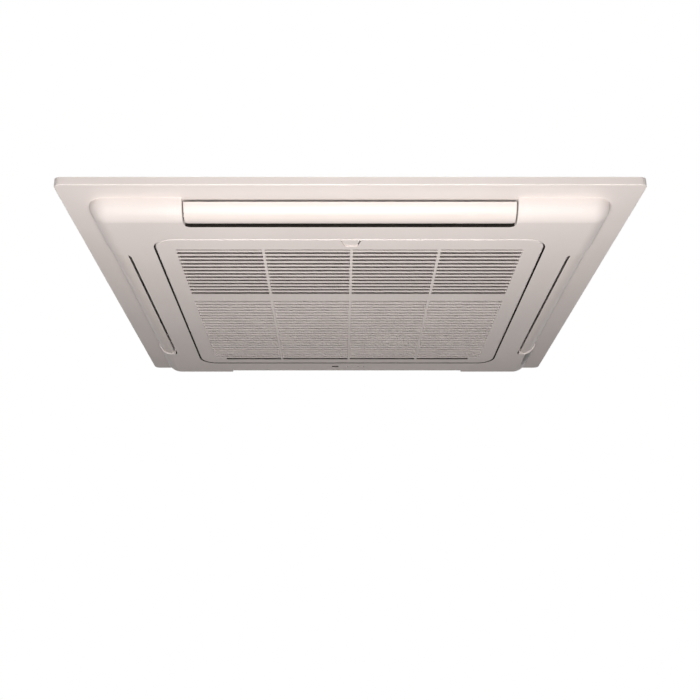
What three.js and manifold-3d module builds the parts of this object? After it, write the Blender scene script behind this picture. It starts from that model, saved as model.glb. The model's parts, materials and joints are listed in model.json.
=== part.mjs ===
// Ceiling cassette air conditioner: a body that hangs above a false ceiling and a square
// decor panel under it, with an intake grille in the middle and an air vane on each side.
// Millimetres, +Z up. The origin is the middle of the panel in the plane of the ceiling.
import * as THREE from 'three';
import { mergeGeometries, mergeVertices } from 'three/addons/utils/BufferGeometryUtils.js';
import Module from 'manifold-3d';

const wasm = await Module();
wasm.setup();

// ---------------------------------------------------------------- driving dimensions
const CLEARANCE = 0.3;              // between pieces that touch

// decor panel
const PANEL_SIDE = 950;
const PANEL_CORNER = 12;            // plan radius of the rim
const RIM_HEIGHT = 14;              // rim below the ceiling
const RIM_EDGE = 2;                 // radius along the rim's lower edge
const PANEL_WALL = 3;
const RAISED_SIDE = 864;            // raised body, where it leaves the rim
const SHOULDER = 32;                // quarter round down to the flat bottom
const RAISED_CORNER = 2;            // plan radius of the flat bottom
const DUCT_TOP = 2;                 // duct walls above the ceiling plane

// air outlets and vanes
const SLOT_LENGTH = 550;
const SLOT_INNER = 387;             // from the middle to the slot's inner edge
const SLOT_OUTER = 419;             // to the edge of the rim
const SLOT_CORNER = 10;
const DUCT_INNER = 362;             // the same two edges at the top of the duct
const DUCT_OUTER = 410;
const VANE_GAP = 2.5;               // at each end of a vane
const VANE_RADIUS = 29;             // outside of the curved blade, just inside the shoulder's
const VANE_ARC_OUT = 400;           // middle of that curve, outwards
const VANE_ARC_Z = -14;
const VANE_ARC_START = -12;         // degrees, outer edge of the blade
const VANE_ARC_END = -103;          // inner edge
const VANE_WALL = 3;
const VANE_PIVOT_OUT = 402;
const VANE_PIVOT_Z = -32;
const VANE_HUB_RADIUS = 4.8;
const VANE_PIN_RADIUS = 3;
const VANE_RIBS = 3;
const VANE_RIB = 2;
const VANE_CHEEK = 3;
const VANE_SOCKET = 9;              // depth of the socket for the stepper's shaft
const VANE_CORNER = 7.5;            // plan radius of the blade's inner corners
const BUSH_RADIUS = 6;
const BUSH_FLANGE_RADIUS = 8;
const BUSH_FLANGE = 1.5;
const STEPPER_RADIUS = 14;
const STEPPER_LENGTH = 19;
const STEPPER_OFFSET = 8;           // its shaft lies this far below its middle
const STEPPER_SHAFT_RADIUS = 2.5;
const STEPPER_SHAFT = 13;
const STEPPER_EAR_AT = 17.5;
const STEPPER_EAR_RADIUS = 3.5;

// intake grille
const INTAKE_SIDE = 681;            // opening in the panel
const INTAKE_CORNER = 37.5;
const GRILLE_GAP = 2.5;
const GRILLE_EDGE = 3;              // radius along the grille's lower edge
const GRILLE_SKIN = 2.5;
const GRILLE_DEPTH = 11;            // slats and edge wall
const GRILLE_WALL = 2.5;
const BORDER_SIDE = 34;             // plain border round the slats
const BORDER_NEAR = 40;
const BORDER_FAR = 28;
const FIELD_MARGIN = 3;             // full depth round the slats
const FIELD_FAR_CORNER = 25;
const SLAT_PITCH = 15.45;
const SLAT_GAP = 6.4;
const SLAT_LEAN_NEAR = 13;          // how far a gap shifts over the grille's depth
const SLAT_LEAN_FAR = -6;
const SLATS_NEAR = 15;              // gaps before the flat band; the first one is half hidden
const BAND_WIDTH = 32;
const SLATS_FAR = 23;               // gaps beyond it
const RIB_COUNT = 3;
const RIB_PITCH = 154.5;
const RIB_WIDTH = 5;
const RIB_SHIFT = 3.5;
const HINGE_OUT = 348;              // hinge axis of the grille, behind the panel's far strip
const HINGE_Z = -40.2;
const HINGE_X = 200;
const HINGE_PIN_RADIUS = 1.5;
const HINGE_KNUCKLE = 2.4;
const HINGE_ARM_WIDTH = 8;
const HINGE_ARM_RISE = 8;           // underside of the bent arm above the axis
const HINGE_ARM = 3;
const HINGE_CHEEK = 2;
const HINGE_PLAY = 0.6;             // beside the arm
const LATCH_X = 2.5;
const LATCH_Y = -322;
const LATCH_WIDTH = 36;
const LATCH_LENGTH = 26;
const LATCH_TRAVEL = 6;
const LATCH_NOSE_WIDTH = 24;
const LATCH_PLATE = 2;

// filter on the grille
const FILTER_SIDE = 596;
const FILTER_BORDER = 14;
const FILTER_DEPTH = 4;
const FILTER_BAR = 1.6;
const FILTER_BAR_WIDTH = 6;
const FILTER_CORNER = 12;
const FILTER_NET = 0.8;

// receiver and indicator lights on the far strip
const RECEIVER_X = -28;
const RECEIVER_Y = 365;
const RECEIVER_WIDTH = 16;
const RECEIVER_LENGTH = 9;
const LIGHTS = 4;
const LIGHT_FIRST_X = 0;
const LIGHT_PITCH = 13;
const LIGHT_RADIUS = 1.5;
const BOARD_WIDTH = 96;
const BOARD_LENGTH = 18;
const BOARD_THICKNESS = 1.6;
const LENS_FLANGE = 1.8;            // top of the lens above the panel's wall
const COVER_WALL = 1.5;
const COVER_HEIGHT = 9;

// panel screws in gussets across the corners of the intake opening
const SCREW_AT = 318;
const SCREW_RADIUS = 2.4;
const SCREW_HEAD_RADIUS = 6;
const SCREW_HEAD = 3.5;
const SCREW_LENGTH = 34;
const GUSSET_LEG = 62;
const GUSSET_Z = -14;
const GUSSET = 4;

// body above the ceiling
const BODY_SIDE = 840;
const BODY_BOTTOM = 6;
const BODY_HEIGHT = 246;
const BODY_CHAMFER = 90;            // leg of each cut corner
const SHEET = 1.5;
const TOP_SKIRT = 12;
const TOP_RIB = 3;
const LINER = 14;
const PAN_HEIGHT = 60;
const PAN_TROUGH = 20;
const OUTLET_LENGTH = 524;
const OUTLET_INNER = 360;
const OUTLET_OUTER = 403;
const SEAL_EDGE = 8;
const SEAL_CORNER = 24;

// heat exchanger
const PLENUM = 102.4;               // air space between the liner and the coil
const COIL_DEPTH = 38;
const COIL_CORNER = 60;
const COIL_HEIGHT = 160;
const COIL_OPEN = 68;               // the coil stops this far short of its open corner

// fan, bell mouth and motor
const MOUTH_PLATE = 318;            // half width
const MOUTH_PLATE_CORNER = 60;
const MOUTH_PLATE_Z = 8.2;
const MOUTH_WALL = 2.5;
const MOUTH_RADIUS = 228;
const THROAT_RADIUS = 158;
const MOUTH_RISE = 52;
const THROAT_LIP = 8;
const PAN_BORE = 236;
const FAN_RADIUS = 229;
const FAN_INLET_RADIUS = 164;
const FAN_BOTTOM = 62;
const FAN_TOP = 206;
const SHROUD_RISE = 32;
const FAN_WALL = 2.4;
const DISH_RADIUS = 95;
const DISH_FLOOR_RADIUS = 60;
const DISH_DEPTH = 46;
const HUB_RADIUS = 15;
const HUB_LENGTH = 22;
const BLADES = 7;
const BLADE_THICKNESS = 6;
const BLADE_INNER_RADIUS = 146;
const BLADE_SWEEP = 46;             // degrees from leading to trailing edge
const SHAFT_RADIUS = 6;
const SHAFT_LENGTH = 60;
const NUT_RADIUS = 10;
const NUT_HEIGHT = 8;
const MOTOR_RADIUS = 52;
const MOTOR_HEIGHT = 66;
const MOTOR_SHOULDER = 6;           // bevel at both ends of the can
const MOTOR_EAR_AT = 70;
const MOTOR_EAR_RADIUS = 10;
const MOTOR_EAR = 5;
const MOUNT_RADIUS = 9;

// electrical box under the bell mouth plate
const BOX_WIDTH = 300;
const BOX_LENGTH = 82;
const BOX_HEIGHT = 29;
const BOX_Y = 274;
const BOX_SHEET = 1.2;
const BOX_LAP = 8;                  // how far the cover laps over the box
const BOARD_INSET = 6;
const BOARD_DROP = 8;               // underside of the board below the box's top
const TRANSFORMER = [60, 28, 14.5]; // across, deep, high
const HEAT_SINK = [42, 44, 12.5];
const CAPACITOR_RADIUS = 8;
const CAPACITOR_HEIGHT = 13.5;

// drain pump corner, near right
const PUMP_AT = 457;                // from the middle along the diagonal
const PUMP_WIDTH = 84;
const PUMP_DEPTH = 54;
const PUMP_HEIGHT = 78;
const PUMP_FOOT = 16;
const PUMP_MOTOR_RADIUS = 20;
const PUMP_MOTOR_HEIGHT = 18;
const FLOAT_SIDE = -62;             // along the corner, from the pump's middle
const FLOAT_STEM_RADIUS = 3;
const FLOAT_RADIUS = 12;
const FLOAT_HEIGHT = 20;
const FLOAT_TRAVEL = 12;
const DRAIN_X = 340;
const DRAIN_Y = -300;
const DRAIN_Z = 205;
const DRAIN_RADIUS = 13;
const DRAIN_BEND = 28;
const PIPE_REACH = 452;             // pipe ends, from the middle

// refrigerant pipes, far right
const GAS_RADIUS = 7.95;
const GAS_Z = 112;
const LIQUID_RADIUS = 4.76;
const LIQUID_Z = 160;
const PIPE_BEND = 30;
const PIPE_INSET = 8;               // from the coil's outer face

// hanger brackets on the cut corners
const HANGER_AT = 390;              // rod position, half the hanging pitch
const HANGER_WIDTH = 70;
const HANGER_HEIGHT = 60;
const HANGER_FOOT = 44;
const HANGER_SHEET = 2.5;
const HANGER_Z = 190;               // height of the foot
const HANGER_SLOT = 12;

// ---------------------------------------------------------------- materials
const finish = (color, roughness, metalness = 0) =>
  new THREE.MeshStandardMaterial({ color, roughness, metalness });
const whitePlastic = finish(0xf1e8e3, 0.42);
const darkPlastic = finish(0x2c2927, 0.5);
const lensPlastic = finish(0x41362f, 0.2);
const greyPlastic = finish(0x8d8f90, 0.55);
const filterNet = finish(0x5b6064, 0.9);
const foamGrey = finish(0x4a4c4e, 0.95);
const polystyrene = finish(0xf4f4f2, 0.9);
const galvanised = finish(0xb9bec2, 0.38, 0.85);
const steel = finish(0x9da2a6, 0.35, 0.9);
const aluminiumFins = finish(0xaeb6bc, 0.45, 0.8);
const copper = finish(0xb87348, 0.32, 0.95);
const brass = finish(0xc2a04f, 0.3, 0.95);
const rubber = finish(0x1d1d1d, 0.85);
const circuitBoard = finish(0x1f5a37, 0.6);

// ---------------------------------------------------------------- geometry helpers
const radians = THREE.MathUtils.degToRad;

// A closed three.js geometry as a solid that can be joined and cut.
function solid(geometry) {
  const bare = new THREE.BufferGeometry();
  const flat = geometry.index ? geometry.toNonIndexed() : geometry;
  bare.setAttribute('position', flat.getAttribute('position').clone());
  const merged = mergeVertices(bare, 1e-3);
  const index = merged.index.array;
  const triangles = [];
  for (let i = 0; i < index.length; i += 3) {
    const [a, b, c] = [index[i], index[i + 1], index[i + 2]];
    if (a !== b && b !== c && c !== a) triangles.push(a, b, c);
  }
  return new wasm.Manifold(new wasm.Mesh({
    numProp: 3,
    vertProperties: new Float32Array(merged.attributes.position.array),
    triVerts: new Uint32Array(triangles),
  }));
}

const join = (first, ...others) => others.reduce((whole, piece) => whole.add(piece), first);
const cut = (first, ...others) => others.reduce((whole, piece) => whole.subtract(piece), first);

function geometryOf(body) {
  const mesh = body.getMesh();
  const geometry = new THREE.BufferGeometry();
  geometry.setAttribute('position', new THREE.BufferAttribute(new Float32Array(mesh.vertProperties), 3));
  geometry.setIndex(new THREE.BufferAttribute(new Uint32Array(mesh.triVerts), 1));
  return geometry;
}

// A named sub-part from a finished solid.
function part(name, body, material) {
  const geometry = geometryOf(body);
  geometry.computeVertexNormals();
  const piece = new THREE.Mesh(geometry, material);
  piece.name = name;
  return piece;
}

// Outline of a rectangle with one radius for all corners, or [near, far] radii.
function roundedRectangle(left, right, near, far, radius) {
  const [nearRadius, farRadius] = Array.isArray(radius) ? radius : [radius, radius];
  const shape = new THREE.Shape();
  const corner = (x, y, r, start) => {
    if (r > 0) shape.absarc(x, y, r, start, start + Math.PI / 2);
    else if (shape.curves.length > 0) shape.lineTo(x, y);
    else shape.moveTo(x, y);
  };
  corner(right - farRadius, far - farRadius, farRadius, 0);
  corner(left + farRadius, far - farRadius, farRadius, Math.PI / 2);
  corner(left + nearRadius, near + nearRadius, nearRadius, Math.PI);
  corner(right - nearRadius, near + nearRadius, nearRadius, 1.5 * Math.PI);
  shape.closePath();
  return shape;
}

const roundedSquare = (half, radius) => roundedRectangle(-half, half, -half, half, radius);

// Outline of a square with cut corners; the cut keeps its distance from the middle line.
function chamferedSquare(half) {
  const outer = BODY_SIDE / 2;
  const inset = outer - half;
  const leg = BODY_CHAMFER - inset * (2 - Math.SQRT2);
  const near = half - leg;
  return new THREE.Shape([
    [half, -near], [half, near], [near, half], [-near, half],
    [-half, near], [-half, -near], [-near, -half], [near, -half],
  ].map(([x, y]) => new THREE.Vector2(x, y)));
}

function extrude(shape, bottom, top, curveSegments = 3) {
  const geometry = new THREE.ExtrudeGeometry(shape, {
    depth: top - bottom, bevelEnabled: false, curveSegments,
  });
  return solid(geometry.translate(0, 0, bottom));
}

// A plate whose lower edge is rounded; its top is cut square.
function roundedPlate(half, cornerRadius, edge, bottom, top, edgeSegments) {
  const geometry = new THREE.ExtrudeGeometry(roundedSquare(half - edge, cornerRadius), {
    depth: top - bottom, bevelEnabled: true, bevelThickness: edge, bevelSize: edge,
    bevelSegments: edgeSegments, curveSegments: 3,
  });
  const tall = solid(geometry.translate(0, 0, bottom + edge));
  return cut(tall, box(-half - 1, half + 1, -half - 1, half + 1, top, top + 3 * edge + 1));
}

function box(left, right, near, far, bottom, top) {
  const geometry = new THREE.BoxGeometry(right - left, far - near, top - bottom);
  return solid(geometry.translate((left + right) / 2, (near + far) / 2, (bottom + top) / 2));
}

// An upright cylinder.
function post(radius, bottom, top, x = 0, y = 0, segments = 24) {
  const geometry = new THREE.CylinderGeometry(radius, radius, top - bottom, segments);
  return solid(geometry.rotateX(Math.PI / 2).translate(x, y, (bottom + top) / 2));
}

// A solid of revolution about Z from [radius, height] points that close on themselves.
function turned(profile, segments) {
  const points = profile.map(([radius, height]) => new THREE.Vector2(radius, height));
  const ordered = THREE.ShapeUtils.area(points) > 0 ? points : points.reverse();
  const geometry = new THREE.LatheGeometry([...ordered, ordered[0].clone()], segments);
  return solid(geometry.rotateX(Math.PI / 2));
}

// A length of tube or rod along a curve.
function rodAlong(curve, radius, steps, sides = 8) {
  const circle = new THREE.Shape();
  circle.absarc(0, 0, radius, 0, 2 * Math.PI);
  const geometry = new THREE.ExtrudeGeometry(circle, {
    steps, bevelEnabled: false, extrudePath: curve, curveSegments: sides / 2,
  });
  return solid(geometry);
}

// Pieces of one side of the panel are drawn for the near side as a profile in
// (outwards, up) and run along the slot from one place to another.
const nearSide = new THREE.Matrix4().makeBasis(
  new THREE.Vector3(0, -1, 0), new THREE.Vector3(0, 0, 1), new THREE.Vector3(-1, 0, 0),
);

function alongSlot(shape, from, to, curveSegments = 6) {
  const geometry = new THREE.ExtrudeGeometry(shape, {
    depth: to - from, bevelEnabled: false, curveSegments,
  });
  return solid(geometry.translate(0, 0, from).applyMatrix4(nearSide));
}

function barAlongSlot(radius, out, z, from, to, segments = 8) {
  const geometry = new THREE.CylinderGeometry(radius, radius, to - from, segments);
  geometry.rotateX(Math.PI / 2).translate(out, z, (from + to) / 2);
  return solid(geometry.applyMatrix4(nearSide));
}

const polygon = (points) => new THREE.Shape(points.map(([x, y]) => new THREE.Vector2(x, y)));

const bottomZ = -RIM_HEIGHT - SHOULDER;
const SIDES = ['front', 'right', 'rear', 'left'];
const quarterTurn = (side) => side * Math.PI / 2;

// The same solid, turned about Z to another side.
const onSide = (body, side) => solid(geometryOf(body).rotateZ(quarterTurn(side)));
const onAllSides = (body) => SIDES.map((_, side) => onSide(body, side));

const unit = new THREE.Group();

// ---------------------------------------------------------------- panel frame
// A thin moulded shell: rim, raised body with quarter-round edge, and the walls of the
// intake opening and the four ducts, which rise just past the ceiling to the seal.
const raisedHalf = RAISED_SIDE / 2;
const slotHalf = SLOT_LENGTH / 2;
const intakeHalf = INTAKE_SIDE / 2;
const shoulderSegments = 5;

// The outer form of the panel, or its hollow when it is inset by the wall.
function panelForm(inset) {
  const hollow = inset > 0;
  const top = hollow ? 1 : 0;
  const rim = roundedPlate(PANEL_SIDE / 2 - inset, PANEL_CORNER - RIM_EDGE, RIM_EDGE,
    -RIM_HEIGHT + inset, top, hollow ? 1 : 2);
  const raised = roundedPlate(raisedHalf - inset, RAISED_CORNER, SHOULDER - inset,
    bottomZ + inset, top, shoulderSegments);
  return join(rim, raised);
}

function slotPlan(margin) {
  const inner = SLOT_INNER - margin;
  const outer = raisedHalf + SHOULDER;
  const end = slotHalf + margin;
  const outline = new THREE.Shape();
  outline.moveTo(outer, -end);
  outline.lineTo(outer, end);
  outline.absarc(inner + SLOT_CORNER, end - SLOT_CORNER, SLOT_CORNER, Math.PI / 2, Math.PI);
  outline.absarc(inner + SLOT_CORNER, -end + SLOT_CORNER, SLOT_CORNER, Math.PI, 1.5 * Math.PI);
  return outline;
}

// Upright cut or wall over the slot's plan, drawn for the near side.
function overSlot(margin, bottom, top) {
  const geometry = new THREE.ExtrudeGeometry(slotPlan(margin), {
    depth: top - bottom, bevelEnabled: false, curveSegments: 3,
  });
  return solid(geometry.translate(0, 0, bottom).rotateZ(-Math.PI / 2));
}

const ductFloor = bottomZ + 9;      // where the duct starts to lean
const ductRun = slotHalf - SLOT_CORNER;
const ductWalls = join(
  overSlot(PANEL_WALL, bottomZ, -RIM_HEIGHT + PANEL_WALL),
  alongSlot(polygon([
    [SLOT_INNER - PANEL_WALL, ductFloor], [SLOT_OUTER + PANEL_WALL, ductFloor],
    [SLOT_OUTER + PANEL_WALL, -RIM_HEIGHT + PANEL_WALL], [DUCT_OUTER + PANEL_WALL, DUCT_TOP],
    [DUCT_INNER - PANEL_WALL, DUCT_TOP],
  ]), -ductRun - PANEL_WALL, ductRun + PANEL_WALL),
);
const ductVoid = join(
  overSlot(0, bottomZ - 10, -RIM_HEIGHT),
  alongSlot(polygon([
    [SLOT_INNER, ductFloor], [SLOT_OUTER, ductFloor], [SLOT_OUTER, -RIM_HEIGHT],
    [DUCT_OUTER, DUCT_TOP], [DUCT_OUTER, DUCT_TOP + 5], [DUCT_INNER, DUCT_TOP + 5],
    [DUCT_INNER, DUCT_TOP],
  ]), -ductRun, ductRun),
);
const envelope = panelForm(0);
const aboveRim = box(-raisedHalf, raisedHalf, -raisedHalf, raisedHalf, -RIM_HEIGHT, DUCT_TOP + 1);
const allowed = join(envelope, aboveRim);

const bushBore = barAlongSlot(BUSH_RADIUS + CLEARANCE, VANE_PIVOT_OUT, VANE_PIVOT_Z,
  slotHalf - 5, slotHalf + 5);
const motorBore = barAlongSlot(STEPPER_SHAFT_RADIUS + PANEL_WALL, VANE_PIVOT_OUT, VANE_PIVOT_Z,
  -slotHalf - 5, -slotHalf + 5);

const intakeWall = extrude(
  roundedSquare(intakeHalf + PANEL_WALL, INTAKE_CORNER + PANEL_WALL), bottomZ, DUCT_TOP);
const intakeVoid = extrude(roundedSquare(intakeHalf, INTAKE_CORNER), bottomZ - 5, DUCT_TOP + 5);

// Gussets across the corners of the intake, each with its screw hole.
function gusset(signX, signY) {
  const corner = intakeHalf + PANEL_WALL / 2;
  const points = [[corner, corner], [corner - GUSSET_LEG, corner], [corner, corner - GUSSET_LEG]];
  const turnedOver = signX * signY < 0;
  const outline = points.map(([x, y]) => [signX * x, signY * y]);
  if (turnedOver) outline.reverse();
  const plate = extrude(polygon(outline), GUSSET_Z, GUSSET_Z + GUSSET);
  const trimmed = plate.intersect(
    extrude(roundedSquare(intakeHalf + PANEL_WALL / 2, INTAKE_CORNER), GUSSET_Z - 1, GUSSET_Z + GUSSET + 1),
  );
  return cut(trimmed, post(SCREW_RADIUS + CLEARANCE, GUSSET_Z - 1, GUSSET_Z + GUSSET + 1,
    signX * SCREW_AT, signY * SCREW_AT, 12));
}
const CORNERS = [[1, 1], [-1, 1], [-1, -1], [1, -1]];

// Cradles behind the far strip that the grille's hinge pins drop into from above, and the
// window in the intake wall that its bent arm swings through.
const cradleTop = HINGE_Z + 1.5 * HINGE_PIN_RADIUS;
const cradleFrom = HINGE_ARM_WIDTH / 2 + HINGE_PLAY;
const cradleTo = cradleFrom + HINGE_CHEEK;
function hingeCradle(x) {
  const bore = HINGE_PIN_RADIUS + CLEARANCE;
  const outline = new THREE.Shape();
  outline.moveTo(intakeHalf + PANEL_WALL / 2, bottomZ + PANEL_WALL / 2);
  outline.lineTo(HINGE_OUT + 2 * HINGE_KNUCKLE, bottomZ + PANEL_WALL / 2);
  outline.lineTo(HINGE_OUT + HINGE_KNUCKLE + 1, cradleTop);
  outline.lineTo(HINGE_OUT + bore, cradleTop);
  outline.absarc(HINGE_OUT, HINGE_Z, bore, 0, Math.PI, true);
  outline.lineTo(HINGE_OUT - bore, cradleTop);
  outline.lineTo(intakeHalf + PANEL_WALL / 2, cradleTop);
  outline.closePath();
  return onSide(join(
    alongSlot(outline, -x + cradleFrom, -x + cradleTo, 4),
    alongSlot(outline, -x - cradleTo, -x - cradleFrom, 4),
  ), 2);
}
const armTop = HINGE_Z + HINGE_ARM_RISE + HINGE_ARM;
const hingeWindow = (x) => box(x - HINGE_ARM_WIDTH / 2 - 1, x + HINGE_ARM_WIDTH / 2 + 1,
  intakeHalf - 1, intakeHalf + PANEL_WALL + 1, bottomZ + PANEL_WALL, armTop + 1);

const grilleTop = bottomZ + GRILLE_DEPTH;
const latchPlateZ = bottomZ + GRILLE_SKIN + CLEARANCE;
const latchKeeper = box(LATCH_X - LATCH_NOSE_WIDTH / 2 - 2, LATCH_X + LATCH_NOSE_WIDTH / 2 + 2,
  -intakeHalf - PANEL_WALL - 2, -intakeHalf + 1, bottomZ + PANEL_WALL,
  latchPlateZ + LATCH_PLATE + 2);

const lightPlaces = Array.from({ length: LIGHTS }, (_, i) => LIGHT_FIRST_X + i * LIGHT_PITCH);
const receiverHole = extrude(roundedRectangle(
  RECEIVER_X - RECEIVER_WIDTH / 2, RECEIVER_X + RECEIVER_WIDTH / 2,
  RECEIVER_Y - RECEIVER_LENGTH / 2, RECEIVER_Y + RECEIVER_LENGTH / 2, 3,
), bottomZ - 1, bottomZ + PANEL_WALL + 1, 3);
const lightHoles = lightPlaces.map((x) => post(LIGHT_RADIUS + CLEARANCE,
  bottomZ - 1, bottomZ + PANEL_WALL + 1, x, RECEIVER_Y, 10));

const shell = join(
  cut(envelope, panelForm(PANEL_WALL)),
  ...onAllSides(ductWalls.intersect(allowed)),
  intakeWall,
);
const panelFrame = join(
  cut(shell, ...onAllSides(join(ductVoid, bushBore, motorBore)), intakeVoid, latchKeeper,
    hingeWindow(HINGE_X), hingeWindow(-HINGE_X), receiverHole, ...lightHoles),
  ...CORNERS.map(([x, y]) => gusset(x, y)),
  hingeCradle(HINGE_X), hingeCradle(-HINGE_X),
);
unit.add(part('panel_frame', panelFrame, whitePlastic));

// ---------------------------------------------------------------- seal on the panel
// Foam between the panel's ducts and the underside of the body.
const sealOutline = roundedSquare(DUCT_OUTER + SEAL_EDGE, SEAL_CORNER);
sealOutline.holes.push(roundedSquare(intakeHalf, INTAKE_CORNER));
const seal = cut(
  extrude(sealOutline, DUCT_TOP + CLEARANCE, BODY_BOTTOM - CLEARANCE, 3),
  ...onAllSides(alongSlot(polygon([
    [DUCT_INNER, 0], [DUCT_OUTER, 0], [DUCT_OUTER, 10], [DUCT_INNER, 10],
  ]), -ductRun, ductRun)),
);
unit.add(part('panel_seal', seal, foamGrey));

// ---------------------------------------------------------------- vanes and their drives
// A curved blade with end cheeks and ribs behind it, a pin at one end and a socket for
// the stepper's shaft at the other.
const vaneHalf = slotHalf - VANE_GAP;

function bladeSection(innerRadius, outerRadius) {
  const start = radians(VANE_ARC_START);
  const end = radians(VANE_ARC_END);
  const outline = new THREE.Shape();
  outline.absarc(VANE_ARC_OUT, VANE_ARC_Z, outerRadius, end, start);
  outline.absarc(VANE_ARC_OUT, VANE_ARC_Z, innerRadius, start, end, true);
  outline.closePath();
  return outline;
}

function cheekSection() {
  const radius = VANE_RADIUS - VANE_WALL / 2;
  const outline = new THREE.Shape();
  outline.absarc(VANE_ARC_OUT, VANE_ARC_Z, radius, radians(VANE_ARC_END + 4), radians(-16));
  outline.lineTo(VANE_PIVOT_OUT + 1, VANE_PIVOT_Z + VANE_HUB_RADIUS - 0.3);
  outline.lineTo(VANE_PIVOT_OUT - VANE_HUB_RADIUS + 0.3, VANE_PIVOT_Z + 0.5);
  outline.closePath();
  return outline;
}

// The blade with its cheeks and ribs, trimmed in plan to its rounded inner corners.
function bladeAndRibs() {
  const rib = (at, thickness) => alongSlot(cheekSection(), at - thickness / 2, at + thickness / 2, 2);
  const cheekAt = vaneHalf - VANE_CHEEK / 2;
  const ribs = Array.from({ length: VANE_RIBS }, (_, i) =>
    rib(((i + 1) / (VANE_RIBS + 1) - 0.5) * 2 * vaneHalf, VANE_RIB));
  const inner = VANE_ARC_OUT + VANE_RADIUS * Math.cos(radians(VANE_ARC_END));
  const plan = roundedRectangle(-vaneHalf, vaneHalf, -raisedHalf, -inner, [0, VANE_CORNER]);
  return join(
    alongSlot(bladeSection(VANE_RADIUS - VANE_WALL, VANE_RADIUS), -vaneHalf, vaneHalf, 7),
    rib(-cheekAt, VANE_CHEEK), rib(cheekAt, VANE_CHEEK), ...ribs,
  ).intersect(extrude(plan, bottomZ, 0));
}

function vane() {
  const hub = (from, to) => barAlongSlot(VANE_HUB_RADIUS, VANE_PIVOT_OUT, VANE_PIVOT_Z, from, to, 8);
  const body = join(
    bladeAndRibs(),
    hub(vaneHalf - VANE_CHEEK - 2, vaneHalf),
    hub(-vaneHalf, -vaneHalf + VANE_SOCKET + 4),
    barAlongSlot(VANE_PIN_RADIUS, VANE_PIVOT_OUT, VANE_PIVOT_Z,
      vaneHalf - 1, slotHalf + PANEL_WALL + BUSH_FLANGE + 2),
  );
  return cut(body, barAlongSlot(STEPPER_SHAFT_RADIUS + CLEARANCE, VANE_PIVOT_OUT, VANE_PIVOT_Z,
    -vaneHalf - 1, -vaneHalf + VANE_SOCKET));
}

// Plain bearing that carries the vane's pin in the wall at the end of the slot.
function bush() {
  const wallEnd = slotHalf + PANEL_WALL + CLEARANCE;
  const sleeve = join(
    barAlongSlot(BUSH_RADIUS, VANE_PIVOT_OUT, VANE_PIVOT_Z, slotHalf + CLEARANCE, wallEnd + 0.5),
    barAlongSlot(BUSH_FLANGE_RADIUS, VANE_PIVOT_OUT, VANE_PIVOT_Z, wallEnd, wallEnd + BUSH_FLANGE),
  );
  return cut(sleeve, barAlongSlot(VANE_PIN_RADIUS + CLEARANCE, VANE_PIVOT_OUT, VANE_PIVOT_Z,
    slotHalf - 1, wallEnd + BUSH_FLANGE + 1));
}

// Geared stepper: round can, two ears, shaft below the middle.
function stepper() {
  const face = -slotHalf - PANEL_WALL - CLEARANCE;
  const middleZ = VANE_PIVOT_Z + STEPPER_OFFSET;
  const reach = STEPPER_EAR_AT + STEPPER_EAR_RADIUS;
  const ears = alongSlot(roundedRectangle(-reach, reach, -STEPPER_EAR_RADIUS, STEPPER_EAR_RADIUS,
    STEPPER_EAR_RADIUS - 0.1), face - 1, face, 2);
  const moved = solid(geometryOf(ears).translate(0, -VANE_PIVOT_OUT, middleZ));
  return join(
    barAlongSlot(STEPPER_RADIUS, VANE_PIVOT_OUT, middleZ, face - STEPPER_LENGTH, face, 16),
    moved,
    barAlongSlot(STEPPER_SHAFT_RADIUS, VANE_PIVOT_OUT, VANE_PIVOT_Z, face - 1, face + STEPPER_SHAFT, 8),
  );
}

const vaneBody = vane();
const bushBody = bush();
const stepperBody = stepper();
SIDES.forEach((side, i) => {
  const group = new THREE.Group();
  group.rotation.z = quarterTurn(i);
  group.add(part(`vane_${side}`, vaneBody, whitePlastic));
  group.add(part(`vane_bush_${side}`, bushBody, greyPlastic));
  group.add(part(`vane_motor_${side}`, stepperBody, steel));
  unit.add(group);
});

// ---------------------------------------------------------------- intake grille
// A shallow tray, flush with the panel: cross slats that lean towards the fan, with a
// flat band between the near and the far group, and ribs from front to back.
const grilleHalf = intakeHalf - GRILLE_GAP;
const fieldHalf = grilleHalf - BORDER_SIDE;
const fieldNear = -grilleHalf + BORDER_NEAR;
const fieldFar = grilleHalf - BORDER_FAR;

// Places of the gaps: [near edge, far edge, lean], front to back.
function slatRows() {
  const rows = [];
  const addRows = (first, count, lean) => {
    for (let i = 0; i < count; i += 1) {
      const middle = first + i * SLAT_PITCH;
      rows.push([Math.max(middle - SLAT_GAP / 2, fieldNear), middle + SLAT_GAP / 2, lean]);
    }
  };
  addRows(fieldNear, SLATS_NEAR, SLAT_LEAN_NEAR);
  addRows(fieldNear + SLATS_NEAR * SLAT_PITCH + BAND_WIDTH, SLATS_FAR, SLAT_LEAN_FAR);
  return rows.filter(([, far]) => far < fieldFar);
}

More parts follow.
